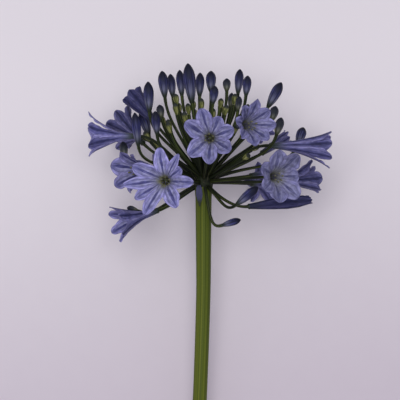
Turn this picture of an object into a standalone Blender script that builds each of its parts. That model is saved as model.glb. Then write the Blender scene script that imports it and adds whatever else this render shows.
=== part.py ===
"""A cut agapanthus flower stem, laid on a surface.

A bare green scape carries one round umbel. Its pedicels spread from a small receptacle,
and each ends in an open floret, a half-open one or a bud.

The head is described in its own directions, in millimetres from the receptacle's centre:
u across, v along the scape towards the head's top, n out of the head's front. The scape
climbs a little from its cut end, so that the head rests on two of its back florets.
"""

import math
import random
from dataclasses import dataclass, field

import bmesh
import bpy
from mathutils import Matrix, Vector

MM = 0.001

# Driving dimensions, in millimetres and degrees
SCAPE_LENGTH = 290.0
SCAPE_TILT = 11.0
SCAPE_SIDES = 12
SCAPE_RADIUS = ((-290.0, 5.6), (-230.0, 5.4), (-160.0, 5.3), (-80.0, 5.45), (-32.0, 5.9), (-12.0, 6.1))
RECEPTACLE_RADIUS = ((-5.0, 6.8), (-0.5, 7.6), (3.0, 6.8), (5.5, 4.6))
RECEPTACLE_TOP = 6.8
BEND_START = -75.0
BEND_REACH = 87.0
BEND_SHIFT = 2.7
BEND_POWER = 1.3

PEDICEL_RADIUS = 1.15
PEDICEL_FOOT_RADIUS = 1.7
PEDICEL_END_RADIUS = 1.35
PEDICEL_SIDES = 5
PEDICEL_RINGS = 5
BENT_PEDICEL_RINGS = 8
PEDICEL_ROOT = 4.0
PEDICEL_RISE = 0.55
PEDICEL_END_PULL = 0.28
BENT_PEDICEL_END_PULL = 0.25
JOIN_GAP = 0.3

TUBE_LENGTH = 12.0
TUBE_FOOT_RADIUS = 2.0
TUBE_LEAN = 7.0
TUBE_PLUG = 5.0
PLUG_HOLLOW = 0.9
TEPAL_THICKNESS = 0.75
TEPAL_GAP = 0.5
TEPAL_ROWS = (0.32, 0.64, 0.88, 1.0)
TIP_STEP_BACK = 0.045
TIP_REACH = 1.02
ROOT_WIDTH = 0.62
MIDRIB_STEP = 1.0
GROOVE_DEPTH = 0.35
WAVE_HEIGHT = 0.7
WAVE_COUNT = 1.3
FLATTEST_COSINE = 0.05

AZIMUTH_JITTER = 3.0
LENGTH_RANGE = (0.96, 1.03)
FLARE_RANGE = (0.93, 1.07)
NARROW_WHORL = 0.88
TWIST_LIMIT = 14.0

STAMEN_COUNT = 6
STAMEN_TURN = 0.5
STAMEN_RADIUS = 0.42
STAMEN_ROOT_RADIUS = 1.1
STAMEN_ROOT_DEPTH = 2.0
STAMEN_BEND_HEIGHT = 0.6
STAMEN_HEIGHT_RANGE = (0.72, 0.84)
STAMEN_DROOP = 1.2
STAMEN_REACH = 1.4
STAMEN_SPREAD = 1.5
STAMEN_SPREAD_FLARE = 80.0
STAMEN_SIDES = 3
ANTHER_RADIUS = 0.75
ANTHER_LENGTH = 2.6
STAMEN_FLARE_LIMIT = 37.0

# Height up a bud over its length, then its radius there over the greatest
BUD_PROFILE = ((0.0, 0.36), (0.14, 0.62), (0.42, 0.95), (0.68, 1.0), (0.88, 0.66), (0.97, 0.28))
GREEN_BUD_PROFILE = ((0.0, 0.45), (0.3, 0.88), (0.62, 1.0), (0.9, 0.55))
GREEN_BUD_RADIUS = 2.2

SHARP_ANGLE = 50.0
RANDOM_SEED = 4107


@dataclass(frozen=True)
class Tepal:
    """One lobe: where it points, how long, wide and spread it is, and how it waves."""

    azimuth: float
    length: float
    half_width: float
    flare: float
    opening: float
    tube_lean: float
    widest: float
    wave: float = 0.0
    twist: float = 0.0


@dataclass(frozen=True)
class Floret:
    """One open or half-open floret: the centre of its mouth, the way it faces, its lobes.

    A low opening makes the lobes spread early, as in a funnel, and a high one late.
    """

    name: str
    mouth: tuple
    facing: tuple
    length: float
    flare: float
    count: int = 6
    half_width: float = 4.6
    roll: float = 0.0
    lobes: tuple = ()
    via: tuple = ()
    opening: float = 0.78
    tube_lean: float = TUBE_LEAN
    widest: float = 0.55


@dataclass(frozen=True)
class Bud:
    """One closed bud: its foot, its tip, its radius, and its pedicel's way if that bends."""

    name: str
    foot: tuple
    tip: tuple
    radius: float
    sides: int = 6
    via: tuple = ()


# One row for each lobe: azimuth, length, half width, flare
FRONT_CENTRE_LOBES = (
    (19, 31.8, 6.3, 84), (66, 30.2, 5.8, 80), (110, 37.0, 6.4, 84), (152, 36.6, 7.0, 84),
    (220, 36.3, 7.0, 84), (266, 34.5, 6.0, 84), (325, 31.5, 6.4, 84),
)
FRONT_LOW_LEFT_LOBES = (
    (-5, 37.5, 5.2, 84), (34, 29.0, 6.0, 78), (59, 37.3, 3.4, 84), (97, 39.5, 5.6, 84), (155, 41.1, 6.2, 84),
    (187, 46.5, 4.8, 86), (214, 40.8, 5.4, 84), (242, 45.9, 5.2, 86), (296, 37.7, 6.0, 84),
)
FRONT_HIGH_RIGHT_LOBES = (
    (-3, 34.5, 6.0, 62), (41, 33, 6.4, 60), (88, 35.5, 5.4, 62), (129, 33, 5.0, 60),
    (178, 33.5, 5.2, 62), (222, 33, 5.4, 60), (266, 35, 5.8, 62), (313, 33.5, 6.2, 60),
)
RIGHT_STAR_LOBES = (
    (2, 31, 8.4, 60), (54, 38.5, 8.4, 66), (102, 38, 7.6, 66), (158, 36, 7.4, 66),
    (214, 35, 7.2, 64), (261, 38, 7.8, 66), (308, 38, 8.4, 66),
)
LEFT_TRUMPET_LOBES = (
    (34, 38, 7.2, 28), (90, 40.5, 5.2, 42), (150, 38, 6.6, 25),
    (210, 37.5, 6.6, 24), (270, 38.5, 6.2, 28), (332, 38, 7.2, 25),
)
RIGHT_TRUMPET_LOBES = (
    (38, 48, 6.8, 24), (88, 48, 5.6, 36), (150, 47.5, 6.2, 24),
    (218, 47.5, 6.2, 24), (302, 47.5, 7.2, 27), (346, 47.5, 7.0, 21),
)
RIGHT_BEHIND_LOBES = (
    (48, 36.5, 6.8, 24), (102, 36, 5.6, 22), (156, 36, 6.2, 24),
    (225, 36, 6.2, 26), (308, 34.5, 6.8, 52), (358, 37, 6.8, 21),
)

FLORETS = (
    Floret("floret_front_centre", (5.0, 31.3, 79), (0.02, 0.02, 1), 36, 84, lobes=FRONT_CENTRE_LOBES),
    Floret("floret_front_low_left", (-28.9, 0.5, 82), (-0.08, 0.02, 1), 40, 84,
           lobes=FRONT_LOW_LEFT_LOBES),
    Floret("floret_front_high_right", (37.4, 41.7, 66), (0.44, 0.04, 0.9), 34, 62,
           lobes=FRONT_HIGH_RIGHT_LOBES),
    Floret("floret_right_star", (56.9, 3.4, 64), (0.34, 0, 0.94), 37, 66, lobes=RIGHT_STAR_LOBES),
    Floret("floret_left_front", (-57.6, 6.9, 42), (-0.75, -0.1, 0.65), 37, 49, 6, 8.4, -12, opening=0.7),
    Floret("floret_left_trumpet", (-87, 33.4, 14), (-1, -0.03, 0.05), 38.5, 25,
           lobes=LEFT_TRUMPET_LOBES, opening=0.4, widest=0.66),
    Floret("floret_left_high", (-54.5, 66.2, -9), (-0.56, 0.68, -0.45), 31, 12, 6, 7.0, 20,
           opening=0.6, tube_lean=12, widest=0.5),
    Floret("floret_left_behind", (-66.5, 50, -22), (-0.66, 0.66, -0.36), 34, 38, 6, 6.2, 25, opening=0.6),
    Floret("floret_low_left_trumpet", (-66, -31.4, 22), (-0.9, -0.28, 0.33), 38, 33, 6, 5.6, 20,
           opening=0.6, widest=0.6),
    Floret("floret_right_trumpet", (95, 25.6, 22), (1, -0.03, 0.03), 48, 18,
           lobes=RIGHT_TRUMPET_LOBES, opening=1.15, widest=0.7),
    Floret("floret_right_behind", (86.5, 2.5, 2), (1, 0.06, -0.1), 36.5, 25,
           lobes=RIGHT_BEHIND_LOBES, opening=0.4, widest=0.66),
    Floret("floret_right_opening", (65, 35.5, -9), (0.82, 0.54, -0.2), 26, 5, 6, 3.4, 10),
    Floret("floret_low_right_opening", (80.6, -13.8, 20), (0.99, 0.1, 0.08), 48, -11, 6, 4.6, 0,
           via=((13.5, -13.0, 10.0),), opening=1.25),
    Floret("floret_back_centre", (1, 34, -60), (0.0, 0.1, -1), 34, 70, 6, 4.8, 15),
    Floret("floret_back_low_left", (-40, 4, -54.7), (-0.48, -0.08, -0.87), 38, 70, 6, 4.9, 40),
    Floret("floret_back_low_right", (49, -1, -54.5), (0.42, 0.0, -0.9), 36, 70, 6, 4.9, 10),
    Floret("floret_back_high_right", (43, 46, -50), (0.35, 0.36, -0.86), 34.5, 64, 6, 4.7, 22),
    Floret("floret_back_left", (-63, 38, -48), (-0.55, 0.15, -0.82), 34, 40, 6, 5.2, 0),
    Floret("floret_back_right", (62, 8, -29), (0.82, 0.1, -0.56), 34, 34, 6, 5.0, 30),
)

BUDS = (
    Bud("bud_high_left", (-40.7, 52.7, 10), (-41.8, 75.5, 12), 3.9, 8),
    Bud("bud_top_left", (-29.2, 64.0, 5), (-31.4, 84.0, 6), 3.8),
    Bud("bud_top_left_behind", (-23.4, 65.2, -6), (-25.4, 82.7, -8), 3.3),
    Bud("bud_top_slim", (-16.4, 65.6, -3), (-18.3, 85.5, -4), 3.3),
    Bud("bud_top_largest", (-8.7, 59.5, 8), (-11.9, 89.4, 10), 4.6, 8),
    Bud("bud_top_centre", (-3.0, 65.2, -4), (-2.5, 83.5, -5), 3.4),
    Bud("bud_top_right_of_centre", (5.7, 69.0, -6), (5.7, 85.0, -6), 3.9),
    Bud("bud_mid_centre", (6.9, 58.5, 14), (8.6, 72.1, 16), 3.3),
    Bud("bud_top_small", (17.6, 68.5, 4), (17.6, 78.5, 4), 3.0),
    Bud("bud_top_right", (26.3, 67.5, -6), (27.9, 86.4, -7), 3.4),
    Bud("bud_top_right_front", (32.0, 65.0, 8), (33.4, 80.2, 9), 3.3),
    Bud("bud_mid_right_behind", (20.4, 56.5, -10), (21.8, 68.6, -11), 2.5),
    Bud("bud_above_high_right", (25.6, 53.0, 20), (26.8, 63.6, 24), 2.5),
    Bud("bud_high_right", (49.0, 57.0, 0), (59.3, 75.7, 0), 4.0, 8),
    Bud("bud_right_small", (51.4, 46.0, 9), (54.4, 57.2, 10), 3.4),
    Bud("bud_right_upright", (54.0, 34.6, 31), (57.6, 47.3, 34), 3.3),
    Bud("bud_far_right", (72.4, 29.2, -14), (77.1, 42.3, -17), 3.8),
    Bud("bud_left_small", (-31.6, 48.0, 6), (-33.4, 58.4, 6), 3.0),
    Bud("bud_left_upright", (-34.6, 35.0, 25), (-36.0, 52.3, 29), 3.4),
    Bud("bud_left_long", (-48.6, 26.8, 24), (-51.2, 51.3, 28), 3.5, 8),
    Bud("bud_left_green", (-60.0, 18.0, -5), (-61.6, 31.0, -6), 3.2),
    Bud("bud_left_behind", (-42.0, 36.0, -15), (-48.0, 56.0, -20), 4.0),
    Bud("bud_low_left", (-49.4, -22.2, 1), (-58.1, -19.4, 1), 2.6),
    Bud("bud_low_right", (24.4, -17.0, 32), (40.2, -3.9, 37), 3.6, via=((14.0, -14.5, 22.0),)),
    Bud("bud_hanging", (13.6, -32.9, 9), (28.1, -28.5, 10), 2.9,
        via=((1.6, -5.0, 9.6), (2.4, -14.0, 9.4), (5.6, -26.5, 9.2))),
)

# Unripe buds, which the pedicels swell into: foot and tip
GREEN_BUDS = (
    ((-20.0, 50.5, 14.0), (-21.5, 59.0, 16.5)),
    ((-11.0, 51.0, 6.0), (-12.0, 59.5, 7.0)),
    ((-1.5, 54.0, 10.0), (-1.8, 63.0, 12.0)),
    ((-1.0, 48.0, -8.0), (-1.0, 57.0, -9.5)),
    ((7.0, 47.5, 4.0), (7.2, 56.0, 4.5)),
    ((12.5, 52.5, -6.0), (13.6, 61.0, -7.0)),
    ((23.0, 58.5, 3.0), (24.0, 67.0, 3.4)),
    ((-24.5, 36.5, 22.0), (-26.8, 44.5, 25.5)),
    ((-13.0, 44.0, 24.0), (-14.6, 52.0, 28.0)),
    ((-40.5, 31.0, 4.0), (-45.2, 38.0, 4.4)),
    ((16.0, 50.0, 18.0), (17.4, 57.5, 21.0)),
    ((-18.0, 54.0, -20.0), (-19.6, 61.5, -23.0)),
    ((15.5, 52.0, -26.0), (17.0, 59.0, -30.0)),
    ((-6.0, 50.0, -30.0), (-6.8, 57.0, -34.5)),
    ((36.0, 44.0, -14.0), (40.5, 50.5, -16.0)),
    ((-29.5, 44.0, -12.0), (-33.0, 51.0, -14.0)),
    ((31.0, 51.5, 2.0), (34.2, 59.0, 2.4)),
    ((-7.5, 38.0, 36.0), (-8.8, 44.0, 42.0)),
    ((22.0, 36.0, 33.0), (24.6, 41.6, 38.0)),
    ((2.5, 42.0, 20.0), (2.8, 50.0, 23.5)),
    ((-20.0, 59.0, 2.0), (-21.4, 67.0, 2.4)), ((-25.0, 39.5, 12.0), (-27.0, 47.0, 13.4)),
    ((19.0, 44.0, -17.0), (21.2, 51.0, -19.6)), ((27.5, 45.5, -8.0), (30.8, 52.0, -9.0)),
    ((11.0, 39.5, 13.5), (12.6, 46.5, 16.0)), ((-14.0, 42.0, -12.0), (-15.8, 49.5, -14.2)),
    ((-34.0, 26.5, -4.0), (-40.0, 31.2, -4.8)), ((-7.5, 56.0, -14.0), (-8.2, 63.0, -15.8)),
    ((28.0, 33.0, -4.0), (32.2, 38.2, -4.8)), ((36.5, 24.0, 6.0), (42.4, 27.8, 6.8)),
    ((29.5, 17.0, 22.0), (34.6, 20.0, 25.6)), ((12.5, 56.5, 2.0), (13.6, 63.5, 2.4)),
)

# The dry bract left at the receptacle: its centre line, then its half widths
BRACT_LINE = (
    (-3.4, -2.6, 9.0), (-3.4, -5.0, 10.0), (-3.2, -9.5, 9.6), (-3.0, -14.0, 8.8), (-2.9, -18.5, 8.3),
)
BRACT_HALF_WIDTH = (1.2, 2.3, 2.5, 1.7, 0.6)
BRACT_BACK_MIDDLE = -0.8
BRACT_BACK_EDGE = -0.3
BRACT_FRONT_MIDDLE = 0.2
BRACT_FRONT_EDGE = 0.4


class HeadFrame:
    """Turns the head's own millimetres into metres above the surface."""

    def __init__(self):
        """Turns the head by the scape's tilt and lifts it so that the cut end touches the surface."""
        tilt = math.radians(SCAPE_TILT)
        cut_radius = SCAPE_RADIUS[0][1]
        height = SCAPE_LENGTH * math.sin(tilt) + cut_radius * math.cos(tilt)
        across = Vector((1, 0, 0))
        along = Vector((0, math.cos(tilt), math.sin(tilt)))
        out = across.cross(along)
        self.turn = Matrix((across, along, out)).transposed()
        self.hub = Vector((0, 0, height)) * MM

    def point(self, place):
        """A place in the head's millimetres as a point in metres above the surface."""
        return self.hub + self.turn @ Vector(place) * MM

    def placement(self, foot, facing):
        """A matrix in metres whose z runs along facing and whose x stays near u."""
        z_axis = Vector(facing).normalized()
        guide = Vector((1, 0, 0)) if abs(z_axis.x) < 0.85 else Vector((0, 0, 1))
        x_axis = (guide - z_axis * guide.dot(z_axis)).normalized()
        y_axis = z_axis.cross(x_axis)
        local = Matrix((x_axis, y_axis, z_axis)).transposed()
        matrix = (self.turn @ local).to_4x4()
        matrix.translation = self.point(foot)
        return matrix


HEAD = HeadFrame()


def add_material(name, colour, roughness):
    """A plain material of one colour."""
    material = bpy.data.materials.new(name)
    material.use_nodes = True
    shader = material.node_tree.nodes["Principled BSDF"]
    shader.inputs["Base Color"].default_value = (*colour, 1.0)
    shader.inputs["Roughness"].default_value = roughness
    shader.inputs["Metallic"].default_value = 0.0
    return material


def add_object(name, vertices, faces, matrix, material):
    """One closed mesh object, with vertices in metres in the matrix's frame."""
    mesh = bpy.data.meshes.new(name)
    mesh.from_pydata([tuple(v) for v in vertices], [], faces)
    mesh.validate()
    shell = bmesh.new()
    shell.from_mesh(mesh)
    bmesh.ops.recalc_face_normals(shell, faces=shell.faces)
    shell.to_mesh(mesh)
    shell.free()
    obj = bpy.data.objects.new(name, mesh)
    obj.matrix_world = matrix
    obj.data.materials.append(material)
    bpy.context.scene.collection.objects.link(obj)
    return obj


def smooth(obj):
    """Shades the piece smooth and keeps its rims sharp."""
    obj.data.shade_smooth()
    obj.data.set_sharp_from_angle(angle=math.radians(SHARP_ANGLE))


def ring_tube(rings, tip=None):
    """Vertices and faces of a tube through rings of equal count, with a flat or pointed end."""
    sides = len(rings[0])
    vertices = [point for ring in rings for point in ring]
    faces = []
    for level in range(len(rings) - 1):
        for side in range(sides):
            after = (side + 1) % sides
            low, high = level * sides, (level + 1) * sides
            faces.append((low + side, low + after, high + after))
            faces.append((low + side, high + after, high + side))
    faces.append(tuple(reversed(range(sides))))
    last = (len(rings) - 1) * sides
    if tip is None:
        faces.append(tuple(range(last, last + sides)))
        return vertices, faces
    vertices.append(tip)
    for side in range(sides):
        faces.append((last + side, last + (side + 1) % sides, last + sides))
    return vertices, faces


def circle_ring(centre, direction, radius, sides):
    """Points evenly round a circle that stands square to the direction."""
    axis = direction.normalized()
    guide = Vector((1, 0, 0)) if abs(axis.z) > 0.9 else Vector((0, 0, 1))
    first = axis.cross(guide).normalized()
    second = axis.cross(first)
    turns = [2 * math.pi * side / sides for side in range(sides)]
    return [centre + (first * math.cos(a) + second * math.sin(a)) * radius for a in turns]


def bezier(points, t):
    """A point on the Bezier curve of any degree through the first and last of the points."""
    points = list(points)
    while len(points) > 1:
        points = [a.lerp(b, t) for a, b in zip(points, points[1:])]
    return points[0]


def swept_rings(control, radii, sides):
    """Rings at even steps along a Bezier curve, one for each radius."""
    rings = []
    for index, radius in enumerate(radii):
        t = index / (len(radii) - 1)
        before, after = bezier(control, max(t - 0.01, 0)), bezier(control, min(t + 0.01, 1))
        rings.append(circle_ring(bezier(control, t), after - before, radius, sides))
    return rings


def scape_bend(v):
    """How far the scape's axis has moved to the left at height v."""
    drop = max(BEND_START - v, 0.0) / BEND_REACH
    return -BEND_SHIFT * drop ** BEND_POWER


def scape_rings():
    """The scape's rings from its cut end to the top of the receptacle's rim."""
    rings = []
    for v, radius in (*SCAPE_RADIUS, *RECEPTACLE_RADIUS):
        turns = [2 * math.pi * side / SCAPE_SIDES for side in range(SCAPE_SIDES)]
        shift = scape_bend(v)
        rings.append([Vector((shift + radius * math.cos(a), v, radius * math.sin(a))) for a in turns])
    return rings


def pedicel_control(foot, axis, via):
    """The pedicel's Bezier points: root in the receptacle, bends by hand, then the floret's foot."""
    foot, axis = Vector(foot), Vector(axis).normalized()
    end = foot - axis * JOIN_GAP
    if via:
        bends = [Vector(place) for place in via]
        start = bends[0].normalized() * PEDICEL_ROOT
        return [start, *bends, end - axis * end.length * BENT_PEDICEL_END_PULL, end]
    way = end.normalized()
    rise, pull = end.length * PEDICEL_RISE, end.length * PEDICEL_END_PULL
    return [way * PEDICEL_ROOT, way * rise, end - axis * pull, end]


def pedicel_radii(via):
    """The pedicel tapers from its root and thickens again under the floret."""
    count = BENT_PEDICEL_RINGS if via else PEDICEL_RINGS
    return [PEDICEL_FOOT_RADIUS] + [PEDICEL_RADIUS] * (count - 2) + [PEDICEL_END_RADIUS]


def midrib(tepal, distance):
    """Radius, height and lean of a lobe's midrib at a distance from the floret's foot."""
    lean_start = math.radians(tepal.tube_lean)
    spread = math.radians(tepal.flare) - lean_start
    steps = max(int(round(distance / MIDRIB_STEP)), 1)
    step = distance / steps
    radius, height = TUBE_FOOT_RADIUS, 0.0
    for index in range(steps):
        lean = lean_start + spread * lobe_share(tepal, (index + 0.5) * step) ** tepal.opening
        radius += math.sin(lean) * step
        height += math.cos(lean) * step
    lean = lean_start + spread * lobe_share(tepal, distance) ** tepal.opening
    return radius, height, lean


def lobe_share(tepal, distance):
    """How far along the free part of the lobe a distance is, from 0 to 1."""
    return min(max((distance - TUBE_LENGTH) / (tepal.length - TUBE_LENGTH), 0.0), 1.0)


def lobe_outline(share, widest):
    """The lobe's half width over its greatest half width: oblong with a blunt point."""
    if share < widest:
        return ROOT_WIDTH + (1 - ROOT_WIDTH) * math.sin(math.pi / 2 * share / widest)
    return math.sqrt(max(1 - ((share - widest) / (TIP_REACH - widest)) ** 2, 0.0))


def blade_pair(tepal, share, side, room):
    """Outer and inner point of a lobe: side is -1, 0 or 1, room the angle to its neighbour."""
    edge_share = min(share, 1 - TIP_STEP_BACK) if side else share
    distance = TUBE_LENGTH + (tepal.length - TUBE_LENGTH) * edge_share
    radius, height, lean = midrib(tepal, distance)
    flat = max(math.cos(lean), FLATTEST_COSINE)
    half_width = tepal.half_width * lobe_outline(edge_share, tepal.widest)
    limit = math.atan(math.tan(room - 0.5 * TEPAL_GAP / radius) * flat)
    bend = min(half_width * flat / radius, limit) * side
    cross_radius = radius / flat
    azimuth = math.radians(tepal.azimuth)
    outwards = Vector((math.cos(azimuth), math.sin(azimuth), 0))
    sideways = Vector((-math.sin(azimuth), math.cos(azimuth), 0))
    upwards = Vector((0, 0, 1))
    inwards = upwards * math.sin(lean) - outwards * math.cos(lean)
    tilted = math.radians(tepal.twist) * share * share
    across = sideways * math.cos(tilted) + inwards * math.sin(tilted)
    point = outwards * radius + upwards * height
    point += across * cross_radius * math.sin(bend) + inwards * cross_radius * (1 - math.cos(bend))
    lift = WAVE_HEIGHT * share * math.sin(2 * math.pi * WAVE_COUNT * share + tepal.wave + side)
    point += inwards * (lift if side else -GROOVE_DEPTH * math.sin(math.pi * share))
    face = (inwards * math.cos(bend) - across * math.sin(bend)).normalized()
    return point, point + face * TEPAL_THICKNESS


def tube_pair(distance, azimuth, tube_lean):
    """Outer and inner point of the tube at a distance from the floret's foot."""
    radius = TUBE_FOOT_RADIUS + math.sin(math.radians(tube_lean)) * distance
    height = math.cos(math.radians(tube_lean)) * distance
    outwards = Vector((math.cos(azimuth), math.sin(azimuth), 0))
    point = outwards * radius + Vector((0, 0, height))
    return point, point - outwards * TEPAL_THICKNESS


def floret_tepals(floret, draw):
    """The floret's lobes: those chosen by hand, or evenly spaced ones that differ a little."""
    rows = floret.lobes
    if not rows:
        step = 360.0 / floret.count
        rows = [(floret.roll + step * index + draw.uniform(-AZIMUTH_JITTER, AZIMUTH_JITTER),
                 floret.length * draw.uniform(*LENGTH_RANGE),
                 floret.half_width * (1.0 if index % 2 else NARROW_WHORL),
                 floret.flare * draw.uniform(*FLARE_RANGE)) for index in range(floret.count)]
    shape = (floret.opening, floret.tube_lean, floret.widest)
    tepals = []
    for row in rows:
        wave = draw.uniform(0, 2 * math.pi)
        twist = draw.uniform(-TWIST_LIMIT, TWIST_LIMIT)
        tepals.append(Tepal(*row, *shape, wave, twist))
    return tepals


@dataclass
class FloretShell:
    """Gathers a floret's points: pairs with the outer one first, and single ones at its foot."""

    points: list = field(default_factory=list)
    faces: list = field(default_factory=list)
    first_lobe_point: int = 0

    def add(self, pair):
        """Adds an outer and an inner point and returns the outer one's number."""
        self.points.extend(pair)
        return len(self.points) - 2

    def add_single(self, point):
        """Adds one point and returns its number."""
        self.points.append(point)
        return len(self.points) - 1

    def skin(self, a, b, c, d):
        """Two triangles on each face over the four corners a, b, c, d, split alike."""
        self.faces += [(a, b, c), (a, c, d), (c + 1, b + 1, a + 1), (d + 1, c + 1, a + 1)]

    def rim(self, a, b):
        """Two triangles that join the outer face to the inner one between a and b."""
        self.faces += [(a, b, b + 1), (a, b + 1, a + 1)]


def add_tube(shell, tepals):
    """The short tube with its solid foot. Returns the outer point numbers of its mouth."""
    angles = []
    for index, tepal in enumerate(tepals):
        azimuth = math.radians(tepal.azimuth)
        angles += [azimuth, azimuth + room_after(tepals, index)]
    tube_lean = tepals[0].tube_lean
    plug_ring = [shell.add(tube_pair(TUBE_PLUG, angle, tube_lean)) for angle in angles]
    mouth_ring = [shell.add(tube_pair(TUBE_LENGTH, angle, tube_lean)) for angle in angles]
    foot_ring = [shell.add_single(tube_pair(0.0, angle, tube_lean)[0]) for angle in angles]
    foot_centre = shell.add_single(Vector((0, 0, 0)))
    plug_centre = shell.add_single(Vector((0, 0, TUBE_PLUG * PLUG_HOLLOW)))
    for index in range(len(angles)):
        after = (index + 1) % len(angles)
        low, low_after = foot_ring[index], foot_ring[after]
        high, high_after = plug_ring[index], plug_ring[after]
        shell.skin(high, high_after, mouth_ring[after], mouth_ring[index])
        shell.faces += [(low, low_after, high_after), (low, high_after, high)]
        shell.faces.append((low_after, low, foot_centre))
        shell.faces.append((high + 1, high_after + 1, plug_centre))
    return mouth_ring


def room_after(tepals, index):
    """Half the angle between a lobe and the one that follows it round the tube."""
    following = tepals[(index + 1) % len(tepals)]
    return math.radians((following.azimuth - tepals[index].azimuth) % 360.0) / 2


def add_lobe(shell, tepal, root, room_right, room_left):
    """One free lobe with its rims, from three neighbouring points of the tube's mouth."""
    row = root
    for share in TEPAL_ROWS:
        right = shell.add(blade_pair(tepal, share, -1, room_right))
        centre = shell.add(blade_pair(tepal, share, 0, room_left))
        left = shell.add(blade_pair(tepal, share, 1, room_left))
        shell.skin(row[0], row[1], centre, right)
        shell.skin(row[1], row[2], left, centre)
        shell.rim(right, row[0])
        shell.rim(row[2], left)
        row = (right, centre, left)
    shell.rim(row[1], row[0])
    shell.rim(row[2], row[1])


def floret_shell(tepals):
    """One closed shell: a short tube with a solid foot, and free lobes with rims."""
    shell = FloretShell()
    mouth_ring = add_tube(shell, tepals)
    shell.first_lobe_point = len(shell.points)
    for index, tepal in enumerate(tepals):
        middle = 2 * index
        root = (mouth_ring[middle - 1], mouth_ring[middle], mouth_ring[middle + 1])
        room_right, room_left = room_after(tepals, index - 1), room_after(tepals, index)
        add_lobe(shell, tepal, root, room_right, room_left)
    return shell


def settle(points, matrix):
    """Flattens paired points that would reach under the surface, keeping the blade's thickness."""
    back = matrix.inverted()
    placed = [matrix @ (point * MM) for point in points]
    for index in range(0, len(points), 2):
        low, high = sorted((index, index + 1), key=lambda number: placed[number].z)
        if placed[low].z < 0:
            placed[low].z = 0.0
            placed[high].z = max(placed[high].z, TEPAL_THICKNESS * MM)
    return [back @ point for point in placed]


def stamen_tubes(depth, flare, draw):
    """The filaments, each with an anther for its tip, curving the same way."""
    lean = draw.uniform(0, 2 * math.pi)
    droop = Vector((math.cos(lean), math.sin(lean), 0)) * STAMEN_DROOP
    spread = math.sin(math.radians(min(flare, STAMEN_SPREAD_FLARE)))
    reach = STAMEN_REACH + STAMEN_SPREAD * spread
    root_height = TUBE_PLUG - STAMEN_ROOT_DEPTH
    tubes = []
    for index in range(STAMEN_COUNT):
        angle = 2 * math.pi * index / STAMEN_COUNT + STAMEN_TURN
        outwards = Vector((math.cos(angle), math.sin(angle), 0))
        top = depth * draw.uniform(*STAMEN_HEIGHT_RANGE)
        start = outwards * STAMEN_ROOT_RADIUS + Vector((0, 0, root_height))
        middle = outwards * STAMEN_ROOT_RADIUS + Vector((0, 0, top * STAMEN_BEND_HEIGHT))
        end = outwards * reach + droop + Vector((0, 0, top))
        radii = (STAMEN_RADIUS, STAMEN_RADIUS, ANTHER_RADIUS)
        rings = swept_rings([start, middle, end], radii, STAMEN_SIDES)
        tubes.append(ring_tube(rings, end + (end - middle).normalized() * ANTHER_LENGTH))
    return tubes


def fuse(target, pieces, name):
    """Joins the pieces to the target with one union, applies it and removes the pieces."""
    group = bpy.data.collections.new(name + "_pieces")
    bpy.context.scene.collection.children.link(group)
    for piece in pieces:
        for owner in list(piece.users_collection):
            owner.objects.unlink(piece)
        group.objects.link(piece)
    union = target.modifiers.new("union", "BOOLEAN")
    union.operation = "UNION"
    union.operand_type = "COLLECTION"
    union.collection = group
    union.solver = "MANIFOLD"
    bpy.context.view_layer.update()
    graph = bpy.context.evaluated_depsgraph_get()
    joined = bpy.data.meshes.new_from_object(target.evaluated_get(graph))
    target.modifiers.clear()
    target.data = joined
    for piece in list(group.objects):
        bpy.data.objects.remove(piece, do_unlink=True)
    bpy.data.collections.remove(group)


def connected_points(first):
    """Every point that edges join to the first one."""
    found, queue = {first}, [first]
    while queue:
        vertex = queue.pop()
        for edge in vertex.link_edges:
            other = edge.other_vert(vertex)
            if other not in found:
                found.add(other)
                queue.append(other)
    return found


def keep_largest_shell(obj):
    """Splits the faces into triangles and drops any loose scrap that the union left."""
    shell = bmesh.new()
    shell.from_mesh(obj.data)
    bmesh.ops.triangulate(shell, faces=shell.faces)
    groups, seen = [], set()
    for vertex in shell.verts:
        if vertex not in seen:
            groups.append(connected_points(vertex))
            seen |= groups[-1]
    largest = max(groups, key=len)
    scraps = [vertex for vertex in shell.verts if vertex not in largest]
    bmesh.ops.delete(shell, geom=scraps, context="VERTS")
    shell.to_mesh(obj.data)
    shell.free()


def build_floret(floret, material, draw):
    """Builds one floret and returns its foot and the way it faces."""
    tepals = floret_tepals(floret, draw)
    depth = sum(midrib(tepal, tepal.length)[1] for tepal in tepals) / len(tepals)
    facing = Vector(floret.facing).normalized()
    foot = Vector(floret.mouth) - facing * depth
    matrix = HEAD.placement(foot, facing)
    shell = floret_shell(tepals)
    first = shell.first_lobe_point
    points = [point * MM for point in shell.points[:first]] + settle(shell.points[first:], matrix)
    obj = add_object(floret.name, points, shell.faces, matrix, material)
    if floret.flare > STAMEN_FLARE_LIMIT:
        pieces = []
        for vertices, faces in stamen_tubes(depth, floret.flare, draw):
            metres = [vertex * MM for vertex in vertices]
            pieces.append(add_object("filament", metres, faces, matrix, material))
        fuse(obj, pieces, floret.name)
        keep_largest_shell(obj)
    smooth(obj)
    return foot, facing


def build_bud(bud, material):
    """Builds one closed bud and returns its foot and its axis."""
    foot, tip = Vector(bud.foot), Vector(bud.tip)
    length = (tip - foot).length
    upwards = Vector((0, 0, 1))
    rings = []
    for share, width in BUD_PROFILE:
        rings.append(circle_ring(upwards * length * share, upwards, bud.radius * width, bud.sides))
    vertices, faces = ring_tube(rings, upwards * length)
    matrix = HEAD.placement(foot, tip - foot)
    obj = add_object(bud.name, [vertex * MM for vertex in vertices], faces, matrix, material)
    smooth(obj)
    return foot, tip - foot


def green_bud_rings(foot, tip):
    """The rings of an unripe bud, which close its pedicel."""
    rings = []
    for share, width in GREEN_BUD_PROFILE:
        place = foot.lerp(tip, share)
        rings.append(circle_ring(place, tip - foot, GREEN_BUD_RADIUS * width, PEDICEL_SIDES))
    return rings


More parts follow.
